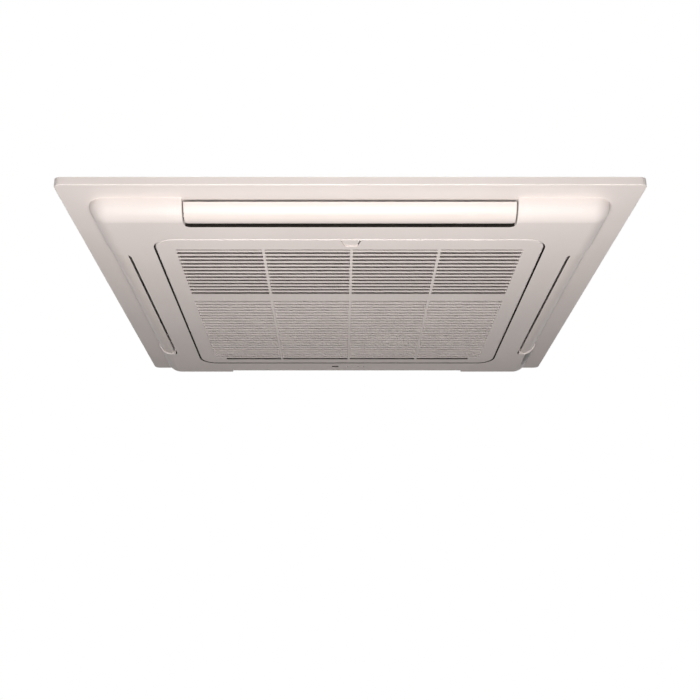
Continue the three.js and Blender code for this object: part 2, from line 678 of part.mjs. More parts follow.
function slatGaps() {
  const ribPlaces = Array.from({ length: RIB_COUNT },
    (_, i) => RIB_SHIFT + (i - (RIB_COUNT - 1) / 2) * RIB_PITCH);
  const ribEdges = ribPlaces.flatMap((x) => [x - RIB_WIDTH / 2, x + RIB_WIDTH / 2]);
  const edges = [-fieldHalf, ...ribEdges, fieldHalf];
  const acrossField = new THREE.Matrix4().makeBasis(
    new THREE.Vector3(0, 1, 0), new THREE.Vector3(0, 0, 1), new THREE.Vector3(1, 0, 0),
  );
  const low = bottomZ - 1;
  const high = grilleTop + 1;
  const pieces = [];
  for (const [near, far, lean] of slatRows()) {
    const inset = far > fieldFar - FIELD_FAR_CORNER ? 0.6 * FIELD_FAR_CORNER : 0;
    for (let i = 0; i < edges.length; i += 2) {
      const from = edges[i] + (i === 0 ? inset : 0);
      const to = edges[i + 1] - (i === edges.length - 2 ? inset : 0);
      const section = polygon([[near, low], [far, low], [far + lean, high], [near + lean, high]]);
      const geometry = new THREE.ExtrudeGeometry(section, { depth: to - from, bevelEnabled: false });
      pieces.push(geometry.applyMatrix4(acrossField).translate(from, 0, 0));
    }
  }
  return solid(mergeGeometries(pieces));
}

// The latch sits behind a tapered opening in the near border.
const latchHoleNear = LATCH_Y - LATCH_LENGTH / 2;
const latchHoleFar = LATCH_Y + LATCH_LENGTH / 2;
const latchTaper = (LATCH_WIDTH - LATCH_NOSE_WIDTH + 2) / 2 / LATCH_LENGTH;
function latchOutline(margin, sideMargin, far) {
  const near = latchHoleNear + margin;
  const halfAt = (y) => LATCH_WIDTH / 2 - sideMargin - latchTaper * (y - latchHoleNear);
  return polygon([[LATCH_X - halfAt(near), near], [LATCH_X + halfAt(near), near],
    [LATCH_X + halfAt(far), far], [LATCH_X - halfAt(far), far]]);
}

// Bent arm that rises from the far edge, over the edge of the opening, and down to its pin.
function hingeArm(x) {
  const arm = polygon([
    [grilleHalf - GRILLE_WALL, grilleTop - 1], [grilleHalf, grilleTop - 1],
    [grilleHalf, armTop - HINGE_ARM], [HINGE_OUT - HINGE_KNUCKLE, armTop - HINGE_ARM],
    [HINGE_OUT - HINGE_KNUCKLE, HINGE_Z], [HINGE_OUT + HINGE_KNUCKLE - 1, HINGE_Z],
    [HINGE_OUT + HINGE_KNUCKLE - 1, armTop], [grilleHalf - GRILLE_WALL, armTop],
  ]);
  const half = HINGE_ARM_WIDTH / 2;
  return onSide(join(
    alongSlot(arm, -x - half, -x + half),
    barAlongSlot(HINGE_KNUCKLE, HINGE_OUT, HINGE_Z, -x - half, -x + half, 12),
    barAlongSlot(HINGE_PIN_RADIUS, HINGE_OUT, HINGE_Z, -x - cradleTo, -x + cradleTo, 10),
  ), 2);
}

function grille() {
  const tray = roundedPlate(grilleHalf, INTAKE_CORNER - GRILLE_GAP - GRILLE_EDGE, GRILLE_EDGE,
    bottomZ, grilleTop, 3);
  const pocketOutline = roundedSquare(
    grilleHalf - GRILLE_WALL, INTAKE_CORNER - GRILLE_GAP - GRILLE_WALL);
  pocketOutline.holes.push(roundedRectangle(
    -fieldHalf - FIELD_MARGIN, fieldHalf + FIELD_MARGIN,
    fieldNear - FIELD_MARGIN, fieldFar + FIELD_MARGIN, [0, FIELD_FAR_CORNER]));
  const pocket = extrude(pocketOutline, bottomZ + GRILLE_SKIN, grilleTop + 1, 4);
  const latchHole = extrude(latchOutline(0, 0, latchHoleFar), bottomZ - 1, bottomZ + GRILLE_SKIN + 1);
  const noseGap = LATCH_NOSE_WIDTH / 2 + 1;
  const noseHole = box(LATCH_X - noseGap, LATCH_X + noseGap,
    -grilleHalf - 1, -grilleHalf + GRILLE_WALL + 1, latchPlateZ - CLEARANCE, grilleTop + 1);
  return join(
    cut(tray, pocket, slatGaps(), latchHole, noseHole),
    hingeArm(HINGE_X), hingeArm(-HINGE_X),
  );
}
unit.add(part('intake_grille', grille(), whitePlastic));

// ---------------------------------------------------------------- grille latch
// A finger pad in the opening, on a slide behind the border, with its nose at the keeper.
function latch() {
  const side = LATCH_WIDTH / 2 + 3;
  const near = -grilleHalf + GRILLE_WALL + 1;
  const far = latchHoleFar + 1;
  const plate = box(LATCH_X - side, LATCH_X + side, near, far,
    latchPlateZ, latchPlateZ + LATCH_PLATE);
  const nose = box(LATCH_X - LATCH_NOSE_WIDTH / 2, LATCH_X + LATCH_NOSE_WIDTH / 2,
    -intakeHalf + CLEARANCE, near + 1, latchPlateZ, latchPlateZ + LATCH_PLATE);
  const sideGap = latchTaper * LATCH_TRAVEL + 2 * CLEARANCE;
  const pad = extrude(latchOutline(2 * CLEARANCE, sideGap, latchHoleFar - LATCH_TRAVEL - 1),
    bottomZ + GRILLE_SKIN / 3, latchPlateZ + LATCH_PLATE / 4);
  return join(plate, nose, pad);
}
unit.add(part('grille_latch', latch(), whitePlastic));

// ---------------------------------------------------------------- filter on the grille
const filterZ = grilleTop + CLEARANCE;
const filterHalf = FILTER_SIDE / 2;
const filterOpening = filterHalf - FILTER_BORDER;
const filterOutline = roundedSquare(filterHalf, FILTER_CORNER);
filterOutline.holes.push(roundedSquare(filterOpening, FILTER_CORNER / 2));
const bars = [-1, 1].flatMap((side) => {
  const low = side * filterHalf / 3 - FILTER_BAR_WIDTH / 2;
  const high = low + FILTER_BAR_WIDTH;
  const end = filterOpening + 2;
  return [
    box(low, high, -end, end, filterZ, filterZ + FILTER_BAR),
    box(-end, end, low, high, filterZ, filterZ + FILTER_BAR),
  ];
});
unit.add(part('filter_frame', join(
  extrude(filterOutline, filterZ, filterZ + FILTER_DEPTH, 2), ...bars), darkPlastic));
const netZ = filterZ + FILTER_BAR + CLEARANCE;
unit.add(part('filter_net', extrude(roundedSquare(filterOpening - CLEARANCE, FILTER_CORNER / 2),
  netZ, netZ + FILTER_NET, 2), filterNet));

// ---------------------------------------------------------------- receiver and lights
const lens = join(
  extrude(roundedRectangle(
    RECEIVER_X - RECEIVER_WIDTH / 2 + CLEARANCE, RECEIVER_X + RECEIVER_WIDTH / 2 - CLEARANCE,
    RECEIVER_Y - RECEIVER_LENGTH / 2 + CLEARANCE, RECEIVER_Y + RECEIVER_LENGTH / 2 - CLEARANCE, 2.7,
  ), bottomZ, bottomZ + PANEL_WALL + 1, 3),
  box(RECEIVER_X - RECEIVER_WIDTH / 2 - 1, RECEIVER_X + RECEIVER_WIDTH / 2 + 1,
    RECEIVER_Y - RECEIVER_LENGTH / 2 - 1, RECEIVER_Y + RECEIVER_LENGTH / 2 + 1,
    bottomZ + PANEL_WALL + CLEARANCE, bottomZ + PANEL_WALL + LENS_FLANGE),
);
unit.add(part('receiver_window', lens, lensPlastic));

const boardZ = bottomZ + PANEL_WALL + LENS_FLANGE + CLEARANCE;
const boardCentre = (RECEIVER_X + lightPlaces[LIGHTS - 1]) / 2;
const board = join(
  box(boardCentre - BOARD_WIDTH / 2, boardCentre + BOARD_WIDTH / 2,
    RECEIVER_Y - BOARD_LENGTH / 2, RECEIVER_Y + BOARD_LENGTH / 2, boardZ, boardZ + BOARD_THICKNESS),
  ...lightPlaces.map((x) => post(LIGHT_RADIUS, bottomZ + 0.4, boardZ + 0.5, x, RECEIVER_Y, 10)),
);
unit.add(part('display_board', board, circuitBoard));

// A lid over the board: a shallow box that is open towards it.
const coverZ = boardZ + BOARD_THICKNESS + CLEARANCE;
const coverBox = (inset, low, high) => box(
  boardCentre - BOARD_WIDTH / 2 + inset, boardCentre + BOARD_WIDTH / 2 - inset,
  RECEIVER_Y - BOARD_LENGTH / 2 + inset, RECEIVER_Y + BOARD_LENGTH / 2 - inset, low, high);
const receiverCover = cut(coverBox(0, coverZ, coverZ + COVER_HEIGHT),
  coverBox(COVER_WALL, coverZ - 1, coverZ + COVER_HEIGHT - COVER_WALL));
unit.add(part('receiver_cover', receiverCover, darkPlastic));

// ---------------------------------------------------------------- panel screws
CORNERS.forEach(([x, y], i) => {
  const underHead = GUSSET_Z - CLEARANCE;
  const screw = join(
    post(SCREW_HEAD_RADIUS, underHead - SCREW_HEAD, underHead, x * SCREW_AT, y * SCREW_AT, 10),
    post(SCREW_RADIUS, underHead - 1, underHead + SCREW_LENGTH, x * SCREW_AT, y * SCREW_AT, 8),
  );
  unit.add(part(`panel_screw_${i + 1}`, screw, steel));
});

// ---------------------------------------------------------------- body casing
// Folded sheet steel with cut corners; the top plate is a lid with a skirt and pressed ribs.
const bodyTop = BODY_BOTTOM + BODY_HEIGHT;
const casingHalf = BODY_SIDE / 2 - SHEET - CLEARANCE;
const casingTop = bodyTop - SHEET - CLEARANCE;
const casingInner = casingHalf - SHEET;
const casingOutline = chamferedSquare(casingHalf);
casingOutline.holes.push(chamferedSquare(casingInner));
const acrossX = (radius, y, z, from, to, segments = 12) => {
  const geometry = new THREE.CylinderGeometry(radius, radius, to - from, segments);
  return solid(geometry.rotateZ(Math.PI / 2).translate((from + to) / 2, y, z));
};
const linerOuter = casingInner - CLEARANCE;
const pipeY = linerOuter - LINER - PLENUM - PIPE_INSET;
const wallHoles = (extra) => [
  acrossX(GAS_RADIUS + extra, pipeY, GAS_Z, casingHalf - LINER - 8, casingHalf + 8),
  acrossX(LIQUID_RADIUS + extra, pipeY, LIQUID_Z, casingHalf - LINER - 8, casingHalf + 8),
  acrossX(DRAIN_RADIUS + extra, DRAIN_Y, DRAIN_Z, casingHalf - LINER - 8, casingHalf + 8),
];
const pressedRib = (z) => alongSlot(polygon([
  [casingInner + 0.5, z - 8], [casingHalf, z - 8], [casingHalf + 1.2, z - 4],
  [casingHalf + 1.2, z + 4], [casingHalf, z + 8], [casingInner + 0.5, z + 8],
]), -BODY_SIDE / 4, BODY_SIDE / 4);
const casingRibs = [0.3, 0.62].flatMap((share) =>
  onAllSides(pressedRib(BODY_BOTTOM + share * BODY_HEIGHT)));
unit.add(part('side_casing', cut(join(
  extrude(casingOutline, BODY_BOTTOM, casingTop), ...casingRibs), ...wallHoles(2)), galvanised));

const topOutline = chamferedSquare(BODY_SIDE / 2);
const skirtInner = chamferedSquare(BODY_SIDE / 2 - SHEET);
const topRing = turned([[MOTOR_EAR_AT + 24, bodyTop - 0.5], [MOTOR_EAR_AT + 44, bodyTop - 0.5],
  [MOTOR_EAR_AT + 40, bodyTop + TOP_RIB], [MOTOR_EAR_AT + 28, bodyTop + TOP_RIB]], 20);
const topSpoke = (side) => {
  const spoke = alongSlot(polygon([[-14, bodyTop - 0.5], [14, bodyTop - 0.5],
    [9, bodyTop + TOP_RIB], [-9, bodyTop + TOP_RIB]]), MOTOR_EAR_AT + 50, BODY_SIDE / 2 + 60);
  return solid(geometryOf(spoke).rotateZ(quarterTurn(side) + Math.PI / 4));
};
const topPlate = join(
  cut(extrude(topOutline, bodyTop - SHEET - TOP_SKIRT, bodyTop),
    extrude(skirtInner, bodyTop - SHEET - TOP_SKIRT - 1, bodyTop - SHEET)),
  topRing, ...SIDES.map((_, side) => topSpoke(side)),
);
unit.add(part('top_plate', topPlate, galvanised));

// ---------------------------------------------------------------- liner and drain pan
const panTop = BODY_BOTTOM + PAN_HEIGHT;
const linerOutline = chamferedSquare(linerOuter);
linerOutline.holes.push(chamferedSquare(linerOuter - LINER));
unit.add(part('foam_liner', cut(extrude(linerOutline, panTop + CLEARANCE, casingTop - CLEARANCE),
  ...wallHoles(1)), polystyrene));

const coilOuter = linerOuter - LINER - PLENUM;
const coilInner = coilOuter - COIL_DEPTH;
const coilEnd = coilOuter - COIL_OPEN;
const coilBottom = panTop - PAN_TROUGH + CLEARANCE;
const troughOutline = roundedSquare(coilOuter + 4, COIL_CORNER + 4);
troughOutline.holes.push(roundedSquare(coilInner - 4, COIL_CORNER - COIL_DEPTH + 4));
const recessTop = MOUTH_PLATE_Z + MOUTH_WALL + CLEARANCE;
const drainPan = cut(
  extrude(chamferedSquare(linerOuter), BODY_BOTTOM, panTop),
  extrude(troughOutline, panTop - PAN_TROUGH, panTop + 1, 4),
  extrude(roundedSquare(MOUTH_PLATE + 2, MOUTH_PLATE_CORNER), BODY_BOTTOM - 1, recessTop, 4),
  post(PAN_BORE, BODY_BOTTOM, panTop + 1, 0, 0, 26),
  ...onAllSides(alongSlot(polygon([
    [OUTLET_INNER, BODY_BOTTOM - 1], [OUTLET_OUTER, BODY_BOTTOM - 1],
    [OUTLET_OUTER, panTop + 1], [OUTLET_INNER, panTop + 1],
  ]), -OUTLET_LENGTH / 2, OUTLET_LENGTH / 2)),
  ...CORNERS.map(([x, y]) => post(SCREW_RADIUS + CLEARANCE, BODY_BOTTOM - 1,
    GUSSET_Z + SCREW_LENGTH + 2, x * SCREW_AT, y * SCREW_AT, 10)),
);
unit.add(part('drain_pan', drainPan, polystyrene));

// ---------------------------------------------------------------- heat exchanger
// One finned coil bent round three corners and open at the fourth, with end plates.
const coilOutline = roundedSquare(coilOuter, COIL_CORNER);
coilOutline.holes.push(roundedSquare(coilInner, COIL_CORNER - COIL_DEPTH));
const coilTop = coilBottom + COIL_HEIGHT;
const endPlate = SHEET;
const coil = join(
  cut(extrude(coilOutline, coilBottom, coilTop, 5),
    box(coilEnd, coilOuter + 10, coilEnd, coilOuter + 10, coilBottom - 1, coilTop + 1)),
  box(coilInner - 3, coilOuter + 3, coilEnd - endPlate, coilEnd, coilBottom, coilTop),
  box(coilEnd - endPlate, coilEnd, coilInner - 3, coilOuter + 3, coilBottom, coilTop),
);
unit.add(part('heat_exchanger', coil, aluminiumFins));

// ---------------------------------------------------------------- bell mouth
// A square plate with a quarter-ellipse flare up to the throat, where the fan begins.
function flare(outward) {
  const points = [];
  const steps = 5;
  for (let i = 0; i <= steps; i += 1) {
    const angle = (i / steps) * Math.PI / 2;
    const drop = MOUTH_RADIUS - THROAT_RADIUS;
    points.push([
      THROAT_RADIUS + drop * (1 - Math.sin(angle)) + outward * Math.sin(angle),
      MOUTH_PLATE_Z + MOUTH_RISE * (1 - Math.cos(angle)) + outward * Math.cos(angle),
    ]);
  }
  points.push([THROAT_RADIUS + outward, MOUTH_PLATE_Z + MOUTH_RISE + THROAT_LIP]);
  return points;
}
const mouthFlare = turned([...flare(0), ...flare(MOUTH_WALL).reverse()], 26);
const mouthPlate = cut(
  extrude(roundedSquare(MOUTH_PLATE, MOUTH_PLATE_CORNER), MOUTH_PLATE_Z, MOUTH_PLATE_Z + MOUTH_WALL, 4),
  post(MOUTH_RADIUS - 0.5, MOUTH_PLATE_Z - 1, MOUTH_PLATE_Z + MOUTH_WALL + 1, 0, 0, 26),
);
unit.add(part('bell_mouth', join(mouthPlate, mouthFlare), darkPlastic));

// ---------------------------------------------------------------- turbo fan
// Backward-curved blades between an inlet shroud and a dished back plate, in one moulding.
function shroudLine(offset) {
  const points = [[FAN_INLET_RADIUS + offset, FAN_BOTTOM]];
  const steps = 4;
  for (let i = 0; i <= steps; i += 1) {
    const angle = (i / steps) * Math.PI / 2;
    points.push([
      FAN_INLET_RADIUS + offset + (FAN_RADIUS - FAN_INLET_RADIUS) * (1 - Math.cos(angle)) * 0.98,
      FAN_BOTTOM + 6 + SHROUD_RISE * Math.sin(angle) + offset * -0.2,
    ]);
  }
  return points;
}

function fan() {
  const segments = 26;
  const shroud = turned([...shroudLine(0), ...shroudLine(FAN_WALL).reverse()], segments);
  const floor = FAN_TOP - DISH_DEPTH;
  const backLine = (offset) => [
    [FAN_RADIUS, FAN_TOP - offset], [DISH_RADIUS + offset * 0.4, FAN_TOP - offset],
    [DISH_FLOOR_RADIUS + offset * 0.4, floor - offset],
  ];
  const back = turned([
    ...backLine(0), [SHAFT_RADIUS + CLEARANCE, floor],
    [SHAFT_RADIUS + CLEARANCE, floor - HUB_LENGTH / 2],
    [HUB_RADIUS, floor - HUB_LENGTH / 2], [HUB_RADIUS, floor - FAN_WALL],
    ...backLine(FAN_WALL).reverse(),
  ], segments);
  const passage = turned([
    [BLADE_INNER_RADIUS, FAN_TOP - 1], [FAN_RADIUS - 1, FAN_TOP - 1],
    [FAN_RADIUS - 1, FAN_BOTTOM + SHROUD_RISE + 5],
    ...shroudLine(FAN_WALL / 2).slice(1, -1).reverse(), [BLADE_INNER_RADIUS + 4, FAN_BOTTOM + 26],
  ], segments);
  const blades = Array.from({ length: BLADES }, (_, i) => {
    const steps = 4;
    const pressure = [];
    const suction = [];
    for (let k = 0; k <= steps; k += 1) {
      const share = k / steps;
      const radius = THREE.MathUtils.lerp(BLADE_INNER_RADIUS - 4, FAN_RADIUS + 4, share);
      const angle = (i / BLADES) * 2 * Math.PI - radians(BLADE_SWEEP) * share ** 0.85;
      const fullness = Math.sin(Math.PI * (share * 0.8 + 0.15));
      const thickness = BLADE_THICKNESS * (0.35 + 0.65 * fullness);
      const spread = thickness / 2 / radius * 1.5;
      pressure.push([radius * Math.cos(angle - spread), radius * Math.sin(angle - spread)]);
      suction.push([radius * Math.cos(angle + spread), radius * Math.sin(angle + spread)]);
    }
    return extrude(polygon([...pressure, ...suction.reverse()]), FAN_BOTTOM, FAN_TOP).intersect(passage);
  });
  return join(back, ...blades, shroud);
}
unit.add(part('turbo_fan', fan(), darkPlastic));

const hubFace = FAN_TOP - DISH_DEPTH - HUB_LENGTH / 2;
const shaftBottom = hubFace - NUT_HEIGHT - CLEARANCE - 3;
unit.add(part('motor_shaft',
  post(SHAFT_RADIUS, shaftBottom, shaftBottom + SHAFT_LENGTH, 0, 0, 20), steel));
unit.add(part('fan_nut', cut(
  post(NUT_RADIUS, hubFace - CLEARANCE - NUT_HEIGHT, hubFace - CLEARANCE, 0, 0, 6),
  post(SHAFT_RADIUS + CLEARANCE, hubFace - NUT_HEIGHT - 2, hubFace + 1, 0, 0, 20)), brass));

// ---------------------------------------------------------------- fan motor
// Sits in the dish of the fan and hangs from the top plate on rubber mounts.
const motorBottom = FAN_TOP - DISH_DEPTH + 8;
const motorTop = motorBottom + MOTOR_HEIGHT;
const earTop = motorTop - MOTOR_SHOULDER;
const earPlaces = SIDES.map((_, i) => quarterTurn(i) + Math.PI / 4)
  .map((angle) => [MOTOR_EAR_AT * Math.cos(angle), MOTOR_EAR_AT * Math.sin(angle)]);
const motorCan = turned([
  [0, motorBottom], [MOTOR_RADIUS - MOTOR_SHOULDER, motorBottom],
  [MOTOR_RADIUS, motorBottom + MOTOR_SHOULDER], [MOTOR_RADIUS, earTop],
  [MOTOR_RADIUS - 10, motorTop], [0, motorTop],
], 20);
const motorEars = earPlaces.map(([x, y]) => join(
  post(MOTOR_EAR_RADIUS, earTop - MOTOR_EAR, earTop, x, y, 10),
  solid(new THREE.BoxGeometry(40, 2 * MOTOR_EAR_RADIUS, MOTOR_EAR)
    .translate(MOTOR_EAR_AT - 20, 0, 0).rotateZ(Math.atan2(y, x))
    .translate(0, 0, earTop - MOTOR_EAR / 2)),
));
unit.add(part('fan_motor', cut(join(motorCan, ...motorEars),
  post(SHAFT_RADIUS + CLEARANCE, motorBottom - 1, shaftBottom + SHAFT_LENGTH + 2, 0, 0, 20)), steel));
earPlaces.forEach(([x, y], i) => {
  const low = earTop + CLEARANCE;
  const high = bodyTop - SHEET - CLEARANCE;
  const waist = (low + high) / 2;
  const mount = turned([[0, low], [MOUNT_RADIUS, low], [MOUNT_RADIUS, low + 3], [MOUNT_RADIUS - 2, waist],
    [MOUNT_RADIUS, high - 3], [MOUNT_RADIUS, high], [0, high]], 8);
  const placed = part(`motor_mount_${i + 1}`, mount, rubber);
  placed.position.set(x, y, 0);
  unit.add(placed);
});

// ---------------------------------------------------------------- electrical box
const boxTop = MOUTH_PLATE_Z - CLEARANCE;
const boxBottom = boxTop - BOX_HEIGHT;
const boxSpan = [-BOX_WIDTH / 2, BOX_WIDTH / 2, BOX_Y - BOX_LENGTH / 2, BOX_Y + BOX_LENGTH / 2];
const shrink = ([left, right, near, far], by) => [left + by, right - by, near + by, far - by];
unit.add(part('control_box', cut(
  box(...boxSpan, boxBottom, boxTop),
  box(...shrink(boxSpan, BOX_SHEET), boxBottom - 1, boxTop - BOX_SHEET)), galvanised));
const boardLow = boxTop - BOARD_DROP;
const hanging = ([across, deep, high], x) => box(x - across / 2, x + across / 2,
  BOX_Y - deep / 2, BOX_Y + deep / 2, boardLow + 0.5 - high, boardLow + 0.5);
unit.add(part('control_board', join(
  box(...shrink(boxSpan, BOARD_INSET), boardLow, boardLow + BOARD_THICKNESS),
  hanging(TRANSFORMER, -0.35 * BOX_WIDTH), hanging(HEAT_SINK, 0.14 * BOX_WIDTH),
  ...[-0.1, -0.02, 0.29].map((share) => post(CAPACITOR_RADIUS, boardLow + 0.5 - CAPACITOR_HEIGHT,
    boardLow + 0.5, share * BOX_WIDTH, BOX_Y + CAPACITOR_RADIUS, 12)),
  ...CORNERS.map(([x, y]) => post(BOARD_INSET / 3, boardLow + 1, boxTop - BOX_SHEET - CLEARANCE,
    x * (BOX_WIDTH / 2 - 2 * BOARD_INSET), BOX_Y + y * (BOX_LENGTH / 2 - 2 * BOARD_INSET), 8)),
), circuitBoard));
unit.add(part('control_box_cover', cut(
  box(...shrink(boxSpan, -BOX_SHEET - CLEARANCE), boxBottom - CLEARANCE - BOX_SHEET, boxBottom + BOX_LAP),
  box(...shrink(boxSpan, -CLEARANCE), boxBottom - CLEARANCE, boxBottom + BOX_LAP + 1)), galvanised));

// ---------------------------------------------------------------- drain pump and float switch
// In the near right corner, drawn along the diagonal: out of the corner, then along it.
const diagonal = -Math.PI / 4;
const inCorner = (body) => solid(geometryOf(body).rotateZ(diagonal));
const pumpBottom = panTop + PUMP_FOOT;
const pumpTop = pumpBottom + PUMP_HEIGHT;
unit.add(part('drain_pump', inCorner(join(
  box(PUMP_AT - PUMP_DEPTH / 2, PUMP_AT + PUMP_DEPTH / 2, -PUMP_WIDTH / 2, PUMP_WIDTH / 2,
    pumpBottom, pumpTop),
  post(16, panTop + CLEARANCE, pumpBottom + 1, PUMP_AT, 0, 20),
  post(PUMP_MOTOR_RADIUS, pumpTop - 1, pumpTop + PUMP_MOTOR_HEIGHT, PUMP_AT, -PUMP_WIDTH / 4, 24),
)), greyPlastic));

const floatRest = panTop + 8;
const stemTop = floatRest + FLOAT_HEIGHT + FLOAT_TRAVEL + 16;
const stemReach = -PUMP_WIDTH / 2 - CLEARANCE;
unit.add(part('float_switch', inCorner(join(
  post(FLOAT_STEM_RADIUS, panTop + 2, stemTop, PUMP_AT, FLOAT_SIDE, 12),
  post(FLOAT_STEM_RADIUS + 3, panTop + 2, floatRest - CLEARANCE, PUMP_AT, FLOAT_SIDE, 12),
  post(FLOAT_STEM_RADIUS + 3, stemTop - 10, stemTop, PUMP_AT, FLOAT_SIDE, 12),
  box(PUMP_AT - 6, PUMP_AT + 6, FLOAT_SIDE, stemReach, stemTop - 4, stemTop - 1),
)), greyPlastic));
unit.add(part('float', inCorner(cut(
  post(FLOAT_RADIUS, floatRest, floatRest + FLOAT_HEIGHT, PUMP_AT, FLOAT_SIDE, 20),
  post(FLOAT_STEM_RADIUS + 0.6, floatRest - 1, floatRest + FLOAT_HEIGHT + 1, PUMP_AT, FLOAT_SIDE, 12))),
polystyrene));

// ---------------------------------------------------------------- pipes
// A straight run, one round bend and another straight run.
function bentPath(start, corner, end, bend) {
  const [a, b, c] = [start, corner, end].map((p) => new THREE.Vector3(...p));
  const before = b.clone().add(a.clone().sub(b).setLength(bend));
  const after = b.clone().add(c.clone().sub(b).setLength(bend));
  const path = new THREE.CurvePath();
  path.add(new THREE.LineCurve3(a, before));
  path.add(new THREE.QuadraticBezierCurve3(before, b, after));
  path.add(new THREE.LineCurve3(after, c));
  return path;
}
const pipe = (start, corner, end, radius, bend, boreDepth, steps) => cut(
  rodAlong(bentPath(start, corner, end, bend), radius, steps),
  acrossX(radius - 1.2, end[1], end[2], end[0] - boreDepth, end[0] + 1, 12),
);

unit.add(part('drain_outlet', pipe([DRAIN_X, DRAIN_Y, pumpTop + CLEARANCE], [DRAIN_X, DRAIN_Y, DRAIN_Z],
  [PIPE_REACH, DRAIN_Y, DRAIN_Z], DRAIN_RADIUS, DRAIN_BEND, 40, 12), greyPlastic));

for (const [name, radius, z] of [['gas', GAS_RADIUS, GAS_Z], ['liquid', LIQUID_RADIUS, LIQUID_Z]]) {
  const startX = coilOuter - COIL_DEPTH / 2;
  const tube = pipe([startX, coilEnd + CLEARANCE, z], [startX, pipeY, z],
    [PIPE_REACH, pipeY, z], radius, PIPE_BEND, 20, 12);
  unit.add(part(`${name}_pipe`, tube, copper));
  const nutLength = 2.4 * radius;
  const nutFrom = PIPE_REACH - 6 - nutLength;
  const nut = cut(
    join(
      acrossX(radius * 1.75, pipeY, z, nutFrom, nutFrom + nutLength, 6),
      acrossX(radius * 1.45, pipeY, z, nutFrom - 0.5 * radius, nutFrom + 1, 10),
    ),
    acrossX((radius + CLEARANCE) / Math.cos(Math.PI / 10), pipeY, z,
      nutFrom - radius, nutFrom + nutLength + 1, 10),
  );
  unit.add(part(`${name}_flare_nut`, nut, brass));
}

// ---------------------------------------------------------------- hanger brackets
// Angle brackets on the cut corners, each with an open slot for a hanging rod.
const cornerFace = BODY_SIDE / Math.SQRT2 - BODY_CHAMFER / Math.SQRT2;
const rodAt = HANGER_AT * Math.SQRT2;
const bracketFace = cornerFace - (BODY_SIDE / 2 - casingHalf) + CLEARANCE;
const bracketEnd = bracketFace + HANGER_FOOT;
const slotCut = new THREE.Shape();
slotCut.absarc(rodAt, 0, HANGER_SLOT / 2, Math.PI / 2, 1.5 * Math.PI);
slotCut.lineTo(bracketEnd + 2, -HANGER_SLOT / 2);
slotCut.lineTo(bracketEnd + 2, HANGER_SLOT / 2);
slotCut.closePath();
const webShape = polygon([[bracketFace + 1, HANGER_Z + 1], [bracketEnd - 6, HANGER_Z + 1],
  [bracketFace + 1, HANGER_Z - HANGER_HEIGHT + 8]]);
const web = (t) => solid(new THREE.ExtrudeGeometry(webShape, { depth: HANGER_SHEET, bevelEnabled: false })
  .rotateX(Math.PI / 2).translate(0, t + HANGER_SHEET / 2, 0));
const bracket = cut(
  join(
    box(bracketFace, bracketFace + HANGER_SHEET, -HANGER_WIDTH / 2, HANGER_WIDTH / 2,
      HANGER_Z - HANGER_HEIGHT, HANGER_Z + HANGER_SHEET),
    box(bracketFace, bracketEnd, -HANGER_WIDTH / 2, HANGER_WIDTH / 2, HANGER_Z, HANGER_Z + HANGER_SHEET),
    web(-HANGER_WIDTH / 2 + HANGER_SHEET / 2), web(HANGER_WIDTH / 2 - HANGER_SHEET / 2),
  ),
  extrude(slotCut, HANGER_Z - 1, HANGER_Z + HANGER_SHEET + 1, 6),
);
SIDES.forEach((_, i) => {
  const placed = part(`hanger_bracket_${i + 1}`, bracket, galvanised);
  placed.rotation.z = quarterTurn(i) + Math.PI / 4;
  unit.add(placed);
});

export default unit;
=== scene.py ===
"""Ceiling cassette air conditioner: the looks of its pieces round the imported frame.

Metres, +Z up. The ceiling's underside is z = 0, and the photograph looks along +Y and up.
"""
import json
import math

import bmesh
import bpy
from mathutils import Matrix, Vector


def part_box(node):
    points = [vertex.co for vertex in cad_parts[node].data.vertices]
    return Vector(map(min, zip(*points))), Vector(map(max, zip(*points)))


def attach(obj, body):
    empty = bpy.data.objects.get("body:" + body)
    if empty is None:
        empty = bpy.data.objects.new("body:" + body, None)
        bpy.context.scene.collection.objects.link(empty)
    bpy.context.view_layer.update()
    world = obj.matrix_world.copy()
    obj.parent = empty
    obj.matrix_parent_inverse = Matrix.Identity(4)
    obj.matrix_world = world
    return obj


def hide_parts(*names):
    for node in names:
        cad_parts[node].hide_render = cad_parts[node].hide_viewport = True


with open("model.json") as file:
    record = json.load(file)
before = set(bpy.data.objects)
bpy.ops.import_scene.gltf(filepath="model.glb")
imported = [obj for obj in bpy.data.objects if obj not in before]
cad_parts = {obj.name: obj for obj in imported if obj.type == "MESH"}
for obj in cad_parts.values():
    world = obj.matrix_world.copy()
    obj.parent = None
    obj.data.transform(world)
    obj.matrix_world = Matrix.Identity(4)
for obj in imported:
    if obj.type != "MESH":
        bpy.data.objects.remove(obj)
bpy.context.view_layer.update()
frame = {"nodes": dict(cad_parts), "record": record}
nodes = frame["nodes"]
SIDES = ("front", "right", "rear", "left")

# ------------------------------------------------------------------ camera
# The photograph's viewpoint, solved from the panel's four edges and its slots:
# about two metres in front of the unit, 0.78 m below the ceiling, tilted up at it.
PHOTO_SIZE = 700
FOCAL_PIXELS = 1006.7
PRINCIPAL_X = 340.34
SENSOR = 36.0
CAMERA_PLACE = (-0.01587, -1.90567, -0.78143)
CAMERA_TILT = math.radians(18.887)
camera_data = bpy.data.cameras.new("photo_camera")
camera_data.sensor_width = SENSOR
camera_data.lens = FOCAL_PIXELS / PHOTO_SIZE * SENSOR
camera_data.shift_x = (PHOTO_SIZE / 2 - PRINCIPAL_X) / PHOTO_SIZE
camera = bpy.data.objects.new("photo_camera", camera_data)
camera.location = CAMERA_PLACE
camera.rotation_euler = (math.pi / 2 + CAMERA_TILT, 0, 0)
bpy.context.scene.collection.objects.link(camera)
bpy.context.scene.camera = camera
bpy.context.scene.view_settings.view_transform = "Standard"

